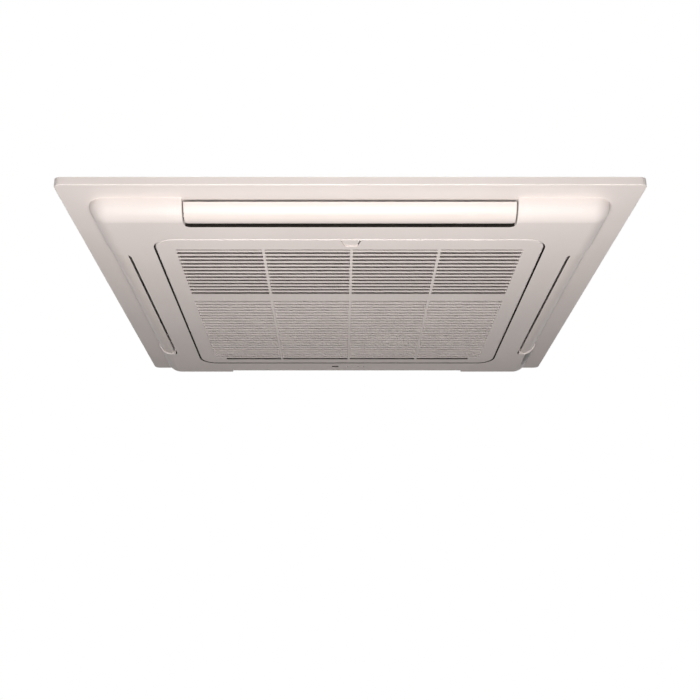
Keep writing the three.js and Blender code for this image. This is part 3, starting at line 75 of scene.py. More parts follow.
# ------------------------------------------------------------------ ceiling, floor and light
# A plain white ceiling sheet with the cut-out for the body. Seen from above it is clear,
# so that views from above show the body. A pale floor lies a storey below.
CEILING_SIZE = 9.0
CUT_OUT = 0.87
CEILING_GAP = 0.0006
FLOOR_SIZE = 60.0
FLOOR_Z = -2.4


def node_material(name):
    """A new material with nodes, and its tree, shader and output."""
    material = bpy.data.materials.new(name)
    material.use_nodes = True
    tree = material.node_tree
    shader = tree.nodes["Principled BSDF"]
    output = tree.nodes["Material Output"]
    return material, tree, shader, output


def seen_mask(tree, in_gloss):
    """White where the camera looks straight at a thing and, if asked, where gloss shows it."""
    path = tree.nodes.new("ShaderNodeLightPath")
    if not in_gloss:
        return path.outputs["Is Camera Ray"]
    either = tree.nodes.new("ShaderNodeMath")
    either.operation = "MAXIMUM"
    tree.links.new(path.outputs["Is Camera Ray"], either.inputs[0])
    tree.links.new(path.outputs["Is Glossy Ray"], either.inputs[1])
    return either.outputs[0]


def mixed(tree, mask, first, second):
    """One shader where the mask is black and another where it is white."""
    mix = tree.nodes.new("ShaderNodeMixShader")
    tree.links.new(mask, mix.inputs[0])
    tree.links.new(first, mix.inputs[1])
    tree.links.new(second, mix.inputs[2])
    return mix.outputs[0]


def stage_material(name, colour, whiteness, seen_in_gloss, clear_from_behind):
    """Matt paint that reads white to the camera, by a share, and if asked in reflections."""
    material, tree, shader, output = node_material(name)
    shader.inputs["Base Color"].default_value = (*colour, 1)
    shader.inputs["Roughness"].default_value = 0.9
    shader.inputs["Specular IOR Level"].default_value = 0.0
    glow = tree.nodes.new("ShaderNodeEmission")
    glow.inputs["Color"].default_value = (1, 1, 1, 1)
    share = tree.nodes.new("ShaderNodeMath")
    share.operation = "MULTIPLY"
    share.inputs[1].default_value = whiteness
    tree.links.new(seen_mask(tree, seen_in_gloss), share.inputs[0])
    result = mixed(tree, share.outputs[0], shader.outputs[0], glow.outputs[0])
    if clear_from_behind:
        geometry = tree.nodes.new("ShaderNodeNewGeometry")
        clear = tree.nodes.new("ShaderNodeBsdfTransparent")
        result = mixed(tree, geometry.outputs["Backfacing"], result, clear.outputs[0])
    tree.links.new(result, output.inputs["Surface"])
    return material


def deselect():
    bpy.ops.object.select_all(action="DESELECT")


def edit(piece, mode="EDGE"):
    """Opens a piece in edit mode with nothing selected."""
    deselect()
    piece.select_set(True)
    bpy.context.view_layer.objects.active = piece
    bpy.ops.object.mode_set(mode="EDIT")
    bpy.ops.mesh.select_mode(type=mode)
    bpy.ops.mesh.select_all(action="DESELECT")
    return bmesh.from_edit_mesh(piece.data)


def close_edit():
    bpy.ops.object.mode_set(mode="OBJECT")


deselect()
bpy.ops.mesh.primitive_plane_add(size=CEILING_SIZE, location=(0, 0, CEILING_GAP))
ceiling = bpy.context.object
ceiling.name = "ceiling_sheet"
bpy.ops.object.transform_apply(location=True)
sheet_mesh = edit(ceiling, "FACE")
for face in sheet_mesh.faces:
    face.select = True
bpy.ops.mesh.inset(thickness=(CEILING_SIZE - CUT_OUT) / 2)
bpy.ops.mesh.delete(type="FACE")
bpy.ops.mesh.select_all(action="SELECT")
bpy.ops.mesh.flip_normals()
close_edit()
ceiling_paint = stage_material("ceiling_paint", (0.30, 0.29, 0.285), whiteness=1.0,
                               seen_in_gloss=True, clear_from_behind=True)
ceiling.data.materials.append(ceiling_paint)

deselect()
bpy.ops.mesh.primitive_plane_add(size=FLOOR_SIZE, location=(0, 0, FLOOR_Z))
floor = bpy.context.object
floor.name = "floor"
bpy.ops.object.transform_apply(location=True)
floor_paint = stage_material("floor_paint", (0.80, 0.79, 0.78), whiteness=0.8,
                             seen_in_gloss=False, clear_from_behind=False)
floor.data.materials.append(floor_paint)

world = bpy.data.worlds.new("studio")
world.use_nodes = True
bpy.context.scene.world = world
world_tree = world.node_tree
backdrop = world_tree.nodes["Background"]
backdrop.inputs["Color"].default_value = (1.0, 0.985, 0.97, 1)
backdrop.inputs["Strength"].default_value = 0.15
white = world_tree.nodes.new("ShaderNodeBackground")
white.inputs["Color"].default_value = (1, 1, 1, 1)
sky = mixed(world_tree, seen_mask(world_tree, True), backdrop.outputs[0], white.outputs[0])
world_tree.links.new(sky, world_tree.nodes["World Output"].inputs["Surface"])


def area_light(name, place, target, size, power, colour):
    """A soft square lamp that faces a point."""
    data = bpy.data.lights.new(name, "AREA")
    data.size = size
    data.energy = power
    data.color = colour
    lamp = bpy.data.objects.new(name, data)
    lamp.location = place
    aim = Vector(target) - Vector(place)
    lamp.rotation_euler = aim.to_track_quat("-Z", "Y").to_euler()
    bpy.context.scene.collection.objects.link(lamp)


area_light("window_light", (0.0, -1.33, -1.12), (0, -0.55, 0), 0.9, 26.5, (1.0, 0.955, 0.935))
area_light("loft_light", (-1.2, -1.4, 2.2), (0, 0, 0.15), 1.6, 55, (1.0, 0.99, 0.98))
area_light("loft_fill", (1.3, 1.6, 1.8), (0, 0, 0.1), 1.8, 45, (1.0, 0.99, 0.98))

# ------------------------------------------------------------------ panel frame
# One injection moulding in satin warm-white plastic: a thin rim on the ceiling, a raised
# body with a quarter-round edge, and the walls of the intake and of the four ducts, whose
# inner sides are painted near-black as painted shade for these recesses. Fixed by four screws at
# the corners of the intake.
MM = 0.001
WALL = 3 * MM
RIM_HALF = 475 * MM
RIM_HEIGHT = 14 * MM
RIM_CORNER = 12 * MM
RIM_EDGE = 2 * MM
RAISED_HALF = 432 * MM
RAISED_CORNER = 34 * MM
SHOULDER = 32 * MM
BOTTOM = -RIM_HEIGHT - SHOULDER
INTAKE_HALF = 340.5 * MM
INTAKE_CORNER = 37.5 * MM
SLOT_HALF = 275 * MM
SLOT_INNER = 387 * MM
SLOT_OUTER = 419 * MM
SLOT_CORNER = 10 * MM
DUCT_TOP = 2 * MM
DUCT_FLOOR = BOTTOM + 9 * MM
DUCT_LEAN_INNER = 25 * MM           # how far each wall of a duct leans in up to its top
DUCT_LEAN_OUTER = 9 * MM
STEP = 0.2 * MM                     # keeps a cut clear of the rim's underside


def block(name, low, high):
    """A box between two corners, as the start of a piece."""
    low, high = Vector(low), Vector(high)
    deselect()
    bpy.ops.mesh.primitive_cube_add(size=1, location=(low + high) / 2)
    piece = bpy.context.object
    piece.name = name
    piece.scale = high - low
    bpy.ops.object.transform_apply(location=True, rotation=True, scale=True)
    return piece


def round_edges(piece, width, segments, wanted):
    """Rounds the edges between two points that the test accepts."""
    mesh = edit(piece)
    for edge in mesh.edges:
        edge.select = wanted(edge.verts[0].co, edge.verts[1].co)
    bmesh.update_edit_mesh(piece.data)
    bpy.ops.mesh.bevel(offset=width, segments=segments, affect="EDGES", clamp_overlap=False)
    close_edit()
    return piece


def upright(a, b):
    return abs(a.z - b.z) > 1e-4 and (a - b).xy.length < 1e-6


def at_height(z):
    return lambda a, b: abs(a.z - z) < 1e-6 and abs(b.z - z) < 1e-6


def apply_modifier(piece, kind, **settings):
    """Adds a modifier, sets it and applies it."""
    deselect()
    piece.select_set(True)
    bpy.context.view_layer.objects.active = piece
    modifier = piece.modifiers.new(kind.lower(), kind)
    for key, value in settings.items():
        setattr(modifier, key, value)
    bpy.ops.object.modifier_apply(modifier=modifier.name)


def combine(piece, others, operation):
    """Joins or cuts a piece with others, which are used up."""
    for other in others:
        apply_modifier(piece, "BOOLEAN", object=other, operation=operation, solver="EXACT")
        bpy.data.objects.remove(other)
    return piece


def smooth(piece, degrees=32):
    """Smooth shading that keeps creases, with the broad faces left flat."""
    deselect()
    piece.select_set(True)
    bpy.context.view_layer.objects.active = piece
    bpy.ops.object.shade_smooth_by_angle(angle=math.radians(degrees))
    apply_modifier(piece, "WEIGHTED_NORMAL", keep_sharp=True, weight=80)


def turned_copy(piece, side, name=None):
    """A copy turned about Z by quarter turns, with its own mesh."""
    copy = bpy.data.objects.new(name or f"{piece.name}_{side}", piece.data.copy())
    copy.data.transform(Matrix.Rotation(side * math.pi / 2, 4, "Z"))
    bpy.context.scene.collection.objects.link(copy)
    return copy


def rounded_plate(name, half, corner, low, high, segments=10, edge=0, edge_segments=4):
    """A square plate with round corners and, if asked, a rounded lower edge."""
    plate = block(name, (-half, -half, low), (half, half, high))
    round_edges(plate, corner, segments, upright)
    if edge > 0:
        round_edges(plate, edge, edge_segments, at_height(low))
    return plate


def panel_form(inset):
    """The outer form of the panel, or its hollow when it is inset by the wall."""
    top = 0 if inset == 0 else MM
    rim = rounded_plate("rim", RIM_HALF - inset, RIM_CORNER - inset, -RIM_HEIGHT + inset, top,
                        segments=8, edge=RIM_EDGE if inset == 0 else 0)
    raised = rounded_plate("raised", RAISED_HALF - inset, RAISED_CORNER - inset,
                           BOTTOM + inset, top, edge=SHOULDER - inset, edge_segments=14)
    return combine(rim, [raised], "UNION")


def slot_block(margin, outer, low, high):
    """The plan of the near slot, as an upright block with round inner corners."""
    inner = -(SLOT_INNER - margin)
    half = SLOT_HALF + margin
    piece = block("slot", (-half, -outer, low), (half, inner, high))
    return round_edges(piece, SLOT_CORNER, 6,
                       lambda a, b: upright(a, b) and abs(a.y - inner) < 1e-6)


def duct_block(margin, top):
    """The leaning duct of the near side, from the slot up to the seal."""
    half = SLOT_HALF - SLOT_CORNER + margin
    piece = block("duct", (-half, -SLOT_OUTER - margin, DUCT_FLOOR),
                  (half, -SLOT_INNER + margin, top))
    middle = -(SLOT_INNER + SLOT_OUTER) / 2
    mesh = edit(piece, "VERT")
    for vertex in mesh.verts:
        if vertex.co.z > DUCT_FLOOR + MM:
            vertex.co.y += DUCT_LEAN_INNER if vertex.co.y > middle else DUCT_LEAN_OUTER
    bmesh.update_edit_mesh(piece.data)
    close_edit()
    return piece


panel = combine(panel_form(0), [panel_form(WALL)], "DIFFERENCE")
intake_wall = rounded_plate("intake_wall", INTAKE_HALF + WALL, INTAKE_CORNER + WALL,
                            BOTTOM + MM, DUCT_TOP)
wall_pattern = combine(slot_block(WALL, RAISED_HALF - MM, BOTTOM + MM, -RIM_HEIGHT + WALL),
                       [duct_block(WALL, DUCT_TOP)], "UNION")
# The walls end inside the panel's outer form, which is open at the top for them.
LIMIT_HALF = 420 * MM
outer_limit = panel_form(0)
limit_top = block("limit_top", (-LIMIT_HALF, -LIMIT_HALF, -20 * MM),
                  (LIMIT_HALF, LIMIT_HALF, 10 * MM))
combine(outer_limit, [limit_top], "UNION")
apply_modifier(wall_pattern, "BOOLEAN", object=outer_limit, operation="INTERSECT", solver="EXACT")
bpy.data.objects.remove(outer_limit)
duct_walls = [turned_copy(wall_pattern, side) for side in range(4)]
bpy.data.objects.remove(wall_pattern)

# Gussets across the corners of the intake, each with the hole of its screw.
GUSSET_LEG = 62 * MM
GUSSET_LOW = -14 * MM
GUSSET_HIGH = -10 * MM
SCREW_AT = 318 * MM
SCREW_HOLE = 2.7 * MM
gusset_out = INTAKE_HALF + WALL / 2
gussets = rounded_plate("gussets", gusset_out, INTAKE_CORNER, GUSSET_LOW, GUSSET_HIGH)
diamond_half = (2 * gusset_out - GUSSET_LEG) / math.sqrt(2)
diamond = block("diamond", (-diamond_half, -diamond_half, GUSSET_LOW - MM),
                (diamond_half, diamond_half, GUSSET_HIGH + MM))
diamond.data.transform(Matrix.Rotation(math.pi / 4, 4, "Z"))
combine(gussets, [diamond], "DIFFERENCE")
combine(panel, [intake_wall, *duct_walls, gussets], "UNION")


def cylinder(name, radius, low, high, axis, vertices=32):
    """A round bar along an axis, between two points that differ only along it."""
    low, high = Vector(low), Vector(high)
    deselect()
    bpy.ops.mesh.primitive_cylinder_add(vertices=vertices, radius=radius, depth=(high - low).length)
    bar = bpy.context.object
    bar.name = name
    if axis != "Z":
        bar.data.transform(Matrix.Rotation(math.pi / 2, 4, "Y" if axis == "X" else "X"))
    bar.data.transform(Matrix.Translation((low + high) / 2))
    return bar


# Bores for the vane's bush and its stepper in the walls at the ends of the near slot.
PIVOT_OUT = 402 * MM
PIVOT_Z = -32 * MM
BUSH_BORE = 6.3 * MM
STEPPER_BORE = 5.5 * MM


def end_bore(radius, end):
    """A bore through the wall at one end of the near slot."""
    middle = end * (SLOT_HALF + WALL / 2)
    return cylinder("bore", radius, (middle - 3 * MM, -PIVOT_OUT, PIVOT_Z),
                    (middle + 3 * MM, -PIVOT_OUT, PIVOT_Z), "X")


slot_cutter = combine(slot_block(0, RAISED_HALF + 10 * MM, BOTTOM - 10 * MM, -RIM_HEIGHT - STEP),
                      [duct_block(0, DUCT_TOP + 4 * MM), end_bore(BUSH_BORE, -1),
                       end_bore(STEPPER_BORE, 1)], "UNION")
cutters = [turned_copy(slot_cutter, side) for side in range(4)]
bpy.data.objects.remove(slot_cutter)
cutters.append(rounded_plate("intake", INTAKE_HALF, INTAKE_CORNER, BOTTOM - 5 * MM, 8 * MM))

RECEIVER_X = -28 * MM
RECEIVER_Y = 365 * MM
WINDOW_HALF_X = 8 * MM
WINDOW_HALF_Y = 4.5 * MM
WINDOW_CORNER = 3 * MM
receiver_hole = block("receiver_hole",
                      (RECEIVER_X - WINDOW_HALF_X, RECEIVER_Y - WINDOW_HALF_Y, BOTTOM - MM),
                      (RECEIVER_X + WINDOW_HALF_X, RECEIVER_Y + WINDOW_HALF_Y, BOTTOM + WALL + MM))
cutters.append(round_edges(receiver_hole, WINDOW_CORNER, 5, upright))
LIGHT_PLACES = [i * 13 * MM for i in range(4)]
LIGHT_HOLE = 2.3 * MM
for x in LIGHT_PLACES:
    cutters.append(cylinder("light_hole", LIGHT_HOLE, (x, RECEIVER_Y, BOTTOM - MM),
                            (x, RECEIVER_Y, BOTTOM + WALL + MM), "Z", 20))
for sign_x in (-1, 1):
    for sign_y in (-1, 1):
        x, y = sign_x * SCREW_AT, sign_y * SCREW_AT
        cutters.append(cylinder("screw_hole", SCREW_HOLE, (x, y, GUSSET_LOW - MM),
                                (x, y, GUSSET_HIGH + MM), "Z", 24))

# The keeper that the latch's nose enters, the windows that the grille's arms swing
# through, and the cradles behind them that take the hinge pins.
LATCH_X = 2.5 * MM
NOSE_HALF = 12 * MM
HINGE_X = 200 * MM
HINGE_OUT = 348 * MM
HINGE_Z = -40.2 * MM
HINGE_PIN = 1.5 * MM
PIN_CLEARANCE = 0.3 * MM
ARM_HALF = 4 * MM
ARM_TOP = HINGE_Z + 11 * MM
CHEEK_FROM = 4.6 * MM
CHEEK_TO = 6.6 * MM
CRADLE_OUT = HINGE_OUT + 4 * MM
CRADLE_TOP = HINGE_Z + 1.5 * HINGE_PIN
KEEPER_HALF = NOSE_HALF + 2 * MM
KEEPER_TOP = -39.2 * MM
cutters.append(block("keeper", (LATCH_X - KEEPER_HALF, -INTAKE_HALF - WALL - 2 * MM, BOTTOM + WALL),
                     (LATCH_X + KEEPER_HALF, -INTAKE_HALF + MM, KEEPER_TOP)))
cradles = []
for x in (-HINGE_X, HINGE_X):
    cutters.append(block("window", (x - ARM_HALF - MM, INTAKE_HALF - MM, BOTTOM + WALL),
                         (x + ARM_HALF + MM, INTAKE_HALF + WALL + MM, ARM_TOP + MM)))
    for near, far in ((-CHEEK_TO, -CHEEK_FROM), (CHEEK_FROM, CHEEK_TO)):
        cradles.append(block("cradle", (x + near, INTAKE_HALF + WALL / 2, BOTTOM + WALL / 2),
                             (x + far, CRADLE_OUT, CRADLE_TOP)))
bore = HINGE_PIN + PIN_CLEARANCE
pin_reach = HINGE_X + 2 * CHEEK_TO
pin_room = cylinder("pin_room", bore, (-pin_reach, HINGE_OUT, HINGE_Z),
                    (pin_reach, HINGE_OUT, HINGE_Z), "X")
pin_entry = block("pin_entry", (-pin_reach, HINGE_OUT - bore, HINGE_Z),
                  (pin_reach, HINGE_OUT + bore, CRADLE_TOP + MM))
combine(panel, cutters, "DIFFERENCE")
combine(pin_room, [pin_entry], "UNION")
for cradle in cradles:
    apply_modifier(cradle, "BOOLEAN", object=pin_room, operation="DIFFERENCE", solver="EXACT")
bpy.data.objects.remove(pin_room)
combine(panel, cradles, "UNION")
panel.name = "panel_shell"


def grain_group():
    """Mottle and fine grain of a moulded or cast surface, from a position."""
    group = bpy.data.node_groups.new("surface_grain", "ShaderNodeTree")
    group.interface.new_socket("Position", in_out="INPUT", socket_type="NodeSocketVector")
    for name in ("Coarse", "Fine"):
        group.interface.new_socket(name, in_out="INPUT", socket_type="NodeSocketFloat")
    for name in ("Mottle", "Grain"):
        group.interface.new_socket(name, in_out="OUTPUT", socket_type="NodeSocketFloat")
    entry = group.nodes.new("NodeGroupInput")
    leave = group.nodes.new("NodeGroupOutput")
    for scale, result, detail in (("Coarse", "Mottle", 3.0), ("Fine", "Grain", 2.0)):
        noise = group.nodes.new("ShaderNodeTexNoise")
        noise.inputs["Detail"].default_value = detail
        group.links.new(entry.outputs["Position"], noise.inputs["Vector"])
        group.links.new(entry.outputs[scale], noise.inputs["Scale"])
        group.links.new(noise.outputs["Fac"], leave.inputs[result])
    return group


surface_grain = grain_group()


def grained(name, light, dark, coarse, fine, roughness, depth, metallic=0.0):
    """A material whose colour and roughness drift a little and whose surface is grained."""
    material, tree, shader, _ = node_material(name)
    place = tree.nodes.new("ShaderNodeTexCoord")
    grain = tree.nodes.new("ShaderNodeGroup")
    grain.node_tree = surface_grain
    grain.inputs["Coarse"].default_value = coarse
    grain.inputs["Fine"].default_value = fine
    tree.links.new(place.outputs["Object"], grain.inputs["Position"])
    colours = tree.nodes.new("ShaderNodeValToRGB")
    colours.color_ramp.elements[0].position = 0.35
    colours.color_ramp.elements[0].color = (*dark, 1)
    colours.color_ramp.elements[1].position = 0.65
    colours.color_ramp.elements[1].color = (*light, 1)
    tree.links.new(grain.outputs["Mottle"], colours.inputs["Fac"])
    tree.links.new(colours.outputs["Color"], shader.inputs["Base Color"])
    rough = tree.nodes.new("ShaderNodeMapRange")
    rough.inputs["To Min"].default_value = roughness - 0.05
    rough.inputs["To Max"].default_value = roughness + 0.06
    tree.links.new(grain.outputs["Mottle"], rough.inputs["Value"])
    tree.links.new(rough.outputs["Result"], shader.inputs["Roughness"])
    bump = tree.nodes.new("ShaderNodeBump")
    bump.inputs["Distance"].default_value = depth
    bump.inputs["Strength"].default_value = 0.6
    tree.links.new(grain.outputs["Grain"], bump.inputs["Height"])
    tree.links.new(bump.outputs["Normal"], shader.inputs["Normal"])
    shader.inputs["Metallic"].default_value = metallic
    return material


# The satin plastic of the mouldings, and a near-black painted shade on the sides of the ducts and
# of the intake's gap, where these recesses fall dark.
white_plastic = grained("white_plastic", (0.84, 0.79, 0.765), (0.815, 0.765, 0.74),
                        coarse=6, fine=900, roughness=0.40, depth=0.000008)
painted_recess_shade = grained("painted_recess_shade", (0.018, 0.014, 0.011), (0.010, 0.008, 0.006),
                   coarse=60, fine=2500, roughness=0.95, depth=0.0002)

panel.data.materials.clear()
panel.data.materials.append(white_plastic)
panel.data.materials.append(painted_recess_shade)
DUCT_FROM = 357 * MM                # inner end of the ducts' walls
GAP_FROM = INTAKE_HALF - 12 * MM    # inner end of the intake's round corners
# Faces of the ducts' walls and of the intake's gap take the near-black painted shade, which stands
# in for the dark of these recesses.
for polygon in panel.data.polygons:
    centre = polygon.center
    across = abs(centre.x) > abs(centre.y)
    out, along = (abs(centre.x), abs(centre.y)) if across else (abs(centre.y), abs(centre.x))
    outward = Vector((centre.x, 0, 0) if across else (0, centre.y, 0)).normalized()
    facing_out = polygon.normal.dot(outward) > 0.5
    in_duct = (DUCT_FROM < out < SLOT_OUTER + MM and along < SLOT_HALF + MM
               and centre.z > BOTTOM + 5 * MM)
    in_gap = (abs(polygon.normal.z) < 0.5 and GAP_FROM < out < INTAKE_HALF + MM
              and centre.z > BOTTOM + WALL)
    if in_gap or (in_duct and facing_out):
        polygon.material_index = 1
smooth(panel)
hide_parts("panel_frame")
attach(panel, "root")

# ------------------------------------------------------------------ air vanes
# Four curved blades in the same plastic. Each is one moulding with cheeks and ribs behind
# it; a pin turns in a bush at one end and a stepper drives the other.
VANE_HALF = 272.5 * MM
VANE_CENTRE_OUT = 400 * MM
VANE_CENTRE_Z = -14 * MM
VANE_RADIUS = 29 * MM
VANE_START = math.radians(-12)
VANE_END = math.radians(-103)
VANE_WALL = 3 * MM
VANE_CORNER = 7.5 * MM
VANE_EDGE = 0.8 * MM
ROUND_STEPS = 96                    # facets of a large round form
vane_plastic = grained("vane_plastic", (0.84, 0.782, 0.748), (0.82, 0.762, 0.728),
                       coarse=6, fine=900, roughness=0.36, depth=0.00001)


def vane_blade():
    """The near blade: an edge spun round the blade's axis, given its wall and soft edges."""
    deselect()
    bpy.ops.mesh.primitive_plane_add(size=1)
    blade = bpy.context.object
    mesh = edit(blade, "VERT")
    start = Vector((0, -VANE_CENTRE_OUT - VANE_RADIUS * math.cos(VANE_START),
                    VANE_CENTRE_Z + VANE_RADIUS * math.sin(VANE_START)))
    bmesh.ops.delete(mesh, geom=list(mesh.verts), context="VERTS")
    left = mesh.verts.new(start + Vector((-VANE_HALF, 0, 0)))
    right = mesh.verts.new(start + Vector((VANE_HALF, 0, 0)))
    edge = mesh.edges.new((left, right))
    for item in (left, right, edge):
        item.select = True
    bmesh.update_edit_mesh(blade.data)
    bpy.ops.mesh.spin(steps=24, angle=VANE_START - VANE_END,
                      center=(0, -VANE_CENTRE_OUT, VANE_CENTRE_Z), axis=(-1, 0, 0))
    bpy.ops.mesh.select_all(action="SELECT")
    bpy.ops.mesh.remove_doubles(threshold=1e-6)
    bpy.ops.mesh.normals_make_consistent(inside=False)
    close_edit()
    return blade


blade = vane_blade()
centre_normal = blade.data.polygons[len(blade.data.polygons) // 2].normal
solid_offset = -1 if centre_normal.z < 0 else 1
apply_modifier(blade, "SOLIDIFY", thickness=VANE_WALL, offset=solid_offset)
vane_inner = VANE_CENTRE_OUT + VANE_RADIUS * math.cos(VANE_END)
vane_plan = block("vane_plan", (-VANE_HALF - MM, -RAISED_HALF, BOTTOM),
                  (VANE_HALF + MM, -vane_inner, 0))
round_edges(vane_plan, VANE_CORNER + MM, 6,
            lambda a, b: upright(a, b) and abs(a.y + vane_inner) < 1e-6)
combine(blade, [vane_plan], "INTERSECT")
apply_modifier(blade, "BEVEL", width=VANE_EDGE, segments=3, limit_method="ANGLE",
               angle_limit=math.radians(50))

# A ring round the blade's axis, just behind the smooth blade. It cuts the faceted blade off
# the built piece and leaves the cheeks, ribs, hubs and pins.
RING_RADIUS = 60 * MM
RING_HALF = VANE_HALF + 50 * MM
RING_CLEARANCE = 0.4 * MM
ring = cylinder("ring", RING_RADIUS, (-RING_HALF, 0, 0), (RING_HALF, 0, 0), "X", ROUND_STEPS)
core_half = RING_HALF + 50 * MM
core = cylinder("core", VANE_RADIUS - VANE_WALL + RING_CLEARANCE, (-core_half, 0, 0),
                (core_half, 0, 0), "X", ROUND_STEPS)
combine(ring, [core], "DIFFERENCE")
ring.data.transform(Matrix.Translation((0, -VANE_CENTRE_OUT, VANE_CENTRE_Z)))

for side, name in enumerate(SIDES):
    vane = turned_copy(blade, side, f"vane_blade_{name}")
    back = bpy.data.objects.new(f"vane_back_{name}", nodes[f"vane_{name}"].data.copy())
    bpy.context.scene.collection.objects.link(back)
    edit(back, "VERT")
    bpy.ops.mesh.select_all(action="SELECT")
    bpy.ops.mesh.remove_doubles(threshold=1e-6)
    close_edit()
    combine(back, [turned_copy(ring, side)], "DIFFERENCE")
    for piece in (vane, back):
        piece.data.materials.clear()
        piece.data.materials.append(vane_plastic)
        smooth(piece, 40)
        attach(piece, f"{name}_vane")
    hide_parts(f"vane_{name}")
bpy.data.objects.remove(blade)
bpy.data.objects.remove(ring)

# ------------------------------------------------------------------ intake grille
# A shallow tray flush with the panel, hinged at the far edge. Cross slats lean towards the
# fan from both sides of a flat band, and three ribs tie them from front to back.
GRILLE_HALF = 338 * MM
GRILLE_TOP = BOTTOM + 11 * MM
GRILLE_CORNER = 35 * MM
GRILLE_EDGE = 3 * MM
GRILLE_WALL = 2.5 * MM
GRILLE_SKIN = 2.5 * MM
FIELD_HALF = 304 * MM
FIELD_NEAR = -298 * MM
FIELD_FAR = 310 * MM
SLAT_PITCH = 15.45 * MM
SLAT_GAP = 9.5 * MM
SLAT_SLOPE = 1.2 * MM               # rise of a slat's lower edge up to its near side
SLAT_LAND = 0.3 * MM                # flat left at its far side
CUT_BELOW = 0.3 * MM                # start of a gap's cut below the face
SLAT_LEAN_NEAR = 14 * MM
SLAT_LEAN_FAR = 7 * MM
SLATS_NEAR = 14
SLATS_FAR = 24
BAND = 32 * MM
FIELD_CORNER = 25 * MM
FIELD_MARGIN = 3 * MM
RIBS = [(3.5 + k * 154.5) * MM for k in (-1, 0, 1)]
RIB_HALF = 2.5 * MM

grille = rounded_plate("grille_face", GRILLE_HALF, GRILLE_CORNER, BOTTOM, GRILLE_TOP,
                       edge=GRILLE_EDGE)
pocket = rounded_plate("pocket", GRILLE_HALF - GRILLE_WALL, GRILLE_CORNER - GRILLE_WALL,
                       BOTTOM + GRILLE_SKIN, GRILLE_TOP + MM, segments=8)
field = block("field", (-FIELD_HALF - FIELD_MARGIN, FIELD_NEAR - FIELD_MARGIN, BOTTOM),
              (FIELD_HALF + FIELD_MARGIN, FIELD_FAR + FIELD_MARGIN, GRILLE_TOP + 2 * MM))
round_edges(field, FIELD_CORNER, 8, lambda a, b: upright(a, b) and a.y > 0)
combine(pocket, [field], "DIFFERENCE")
# The tapered opening of the finger pad, and the hole in the edge wall for the latch's nose.
LATCH_NEAR = -335 * MM
LATCH_FAR = -309 * MM
LATCH_HALF = 18 * MM
LATCH_FAR_HALF = 11 * MM
LATCH_CORNER = 2 * MM
latch_hole = block("latch_hole", (LATCH_X - LATCH_HALF, LATCH_NEAR, BOTTOM - MM),
                   (LATCH_X + LATCH_HALF, LATCH_FAR, BOTTOM + GRILLE_SKIN + MM))
hole_mesh = edit(latch_hole, "VERT")
for vertex in hole_mesh.verts:
    if vertex.co.y > LATCH_FAR - MM:
        vertex.co.x = LATCH_X + math.copysign(LATCH_FAR_HALF, vertex.co.x - LATCH_X)
bmesh.update_edit_mesh(latch_hole.data)
close_edit()
round_edges(latch_hole, LATCH_CORNER, 5, upright)
nose_hole = block("nose_hole",
                  (LATCH_X - NOSE_HALF - MM, -GRILLE_HALF - MM, BOTTOM + GRILLE_SKIN),
                  (LATCH_X + NOSE_HALF + MM, -GRILLE_HALF + GRILLE_WALL + MM, GRILLE_TOP + MM))
combine(grille, [pocket, latch_hole, nose_hole], "DIFFERENCE")


def gap_outline(middle, lean, slope):
    """The gap from front to back: it leans, and slopes the lower edge of the slat behind."""
    low, high = BOTTOM - CUT_BELOW, GRILLE_TOP + MM
    near, far = max(middle - SLAT_GAP / 2, FIELD_NEAR), middle + SLAT_GAP / 2
    foot = [(far, low)]
    if slope > 0:
        end = middle + SLAT_PITCH - SLAT_GAP / 2 - SLAT_LAND
        edge = BOTTOM + slope
        foot = [(end, low), (end, BOTTOM), (far + lean * (edge - low) / (high - low), edge)]
    return [(near, low), *foot, (far + lean, high), (near + lean, high)]


rows = []
far_group = FIELD_NEAR + SLATS_NEAR * SLAT_PITCH + BAND
for first, count, lean in ((FIELD_NEAR, SLATS_NEAR, SLAT_LEAN_NEAR),
                           (far_group, SLATS_FAR, SLAT_LEAN_FAR)):
    for i in range(count):
        # No slat follows the last gap of a group, which leans as the near ones do.
        last = i == count - 1
        middle = first + i * SLAT_PITCH
        outline = gap_outline(middle, SLAT_LEAN_NEAR if last else lean, 0 if last else SLAT_SLOPE)
        rows.append((middle + SLAT_GAP / 2, outline))
edges = [-FIELD_HALF, *[x + s * RIB_HALF for x in RIBS for s in (-1, 1)], FIELD_HALF]

gaps = block("gaps", (0, 0, 0), (MM, MM, MM))
gap_mesh = edit(gaps, "VERT")
bmesh.ops.delete(gap_mesh, geom=list(gap_mesh.verts), context="VERTS")
for far, outline in rows:
    reach = max(0, far - (FIELD_FAR - FIELD_CORNER))
    shorten = FIELD_CORNER - math.sqrt(max(0, FIELD_CORNER ** 2 - reach ** 2))
    for k in range(0, len(edges), 2):
        left = edges[k] + (shorten if k == 0 else 0)
        right = edges[k + 1] - (shorten if k == len(edges) - 2 else 0)
        ends = [[gap_mesh.verts.new((x, y, z)) for y, z in outline] for x in (left, right)]
        gap_mesh.faces.new(ends[0])
        gap_mesh.faces.new(ends[1][::-1])
        for i in range(len(outline)):
            j = (i + 1) % len(outline)
            gap_mesh.faces.new((ends[0][j], ends[0][i], ends[1][i], ends[1][j]))
bmesh.update_edit_mesh(gaps.data)
bpy.ops.mesh.select_all(action="SELECT")
bpy.ops.mesh.normals_make_consistent(inside=False)
close_edit()
combine(grille, [gaps], "DIFFERENCE")

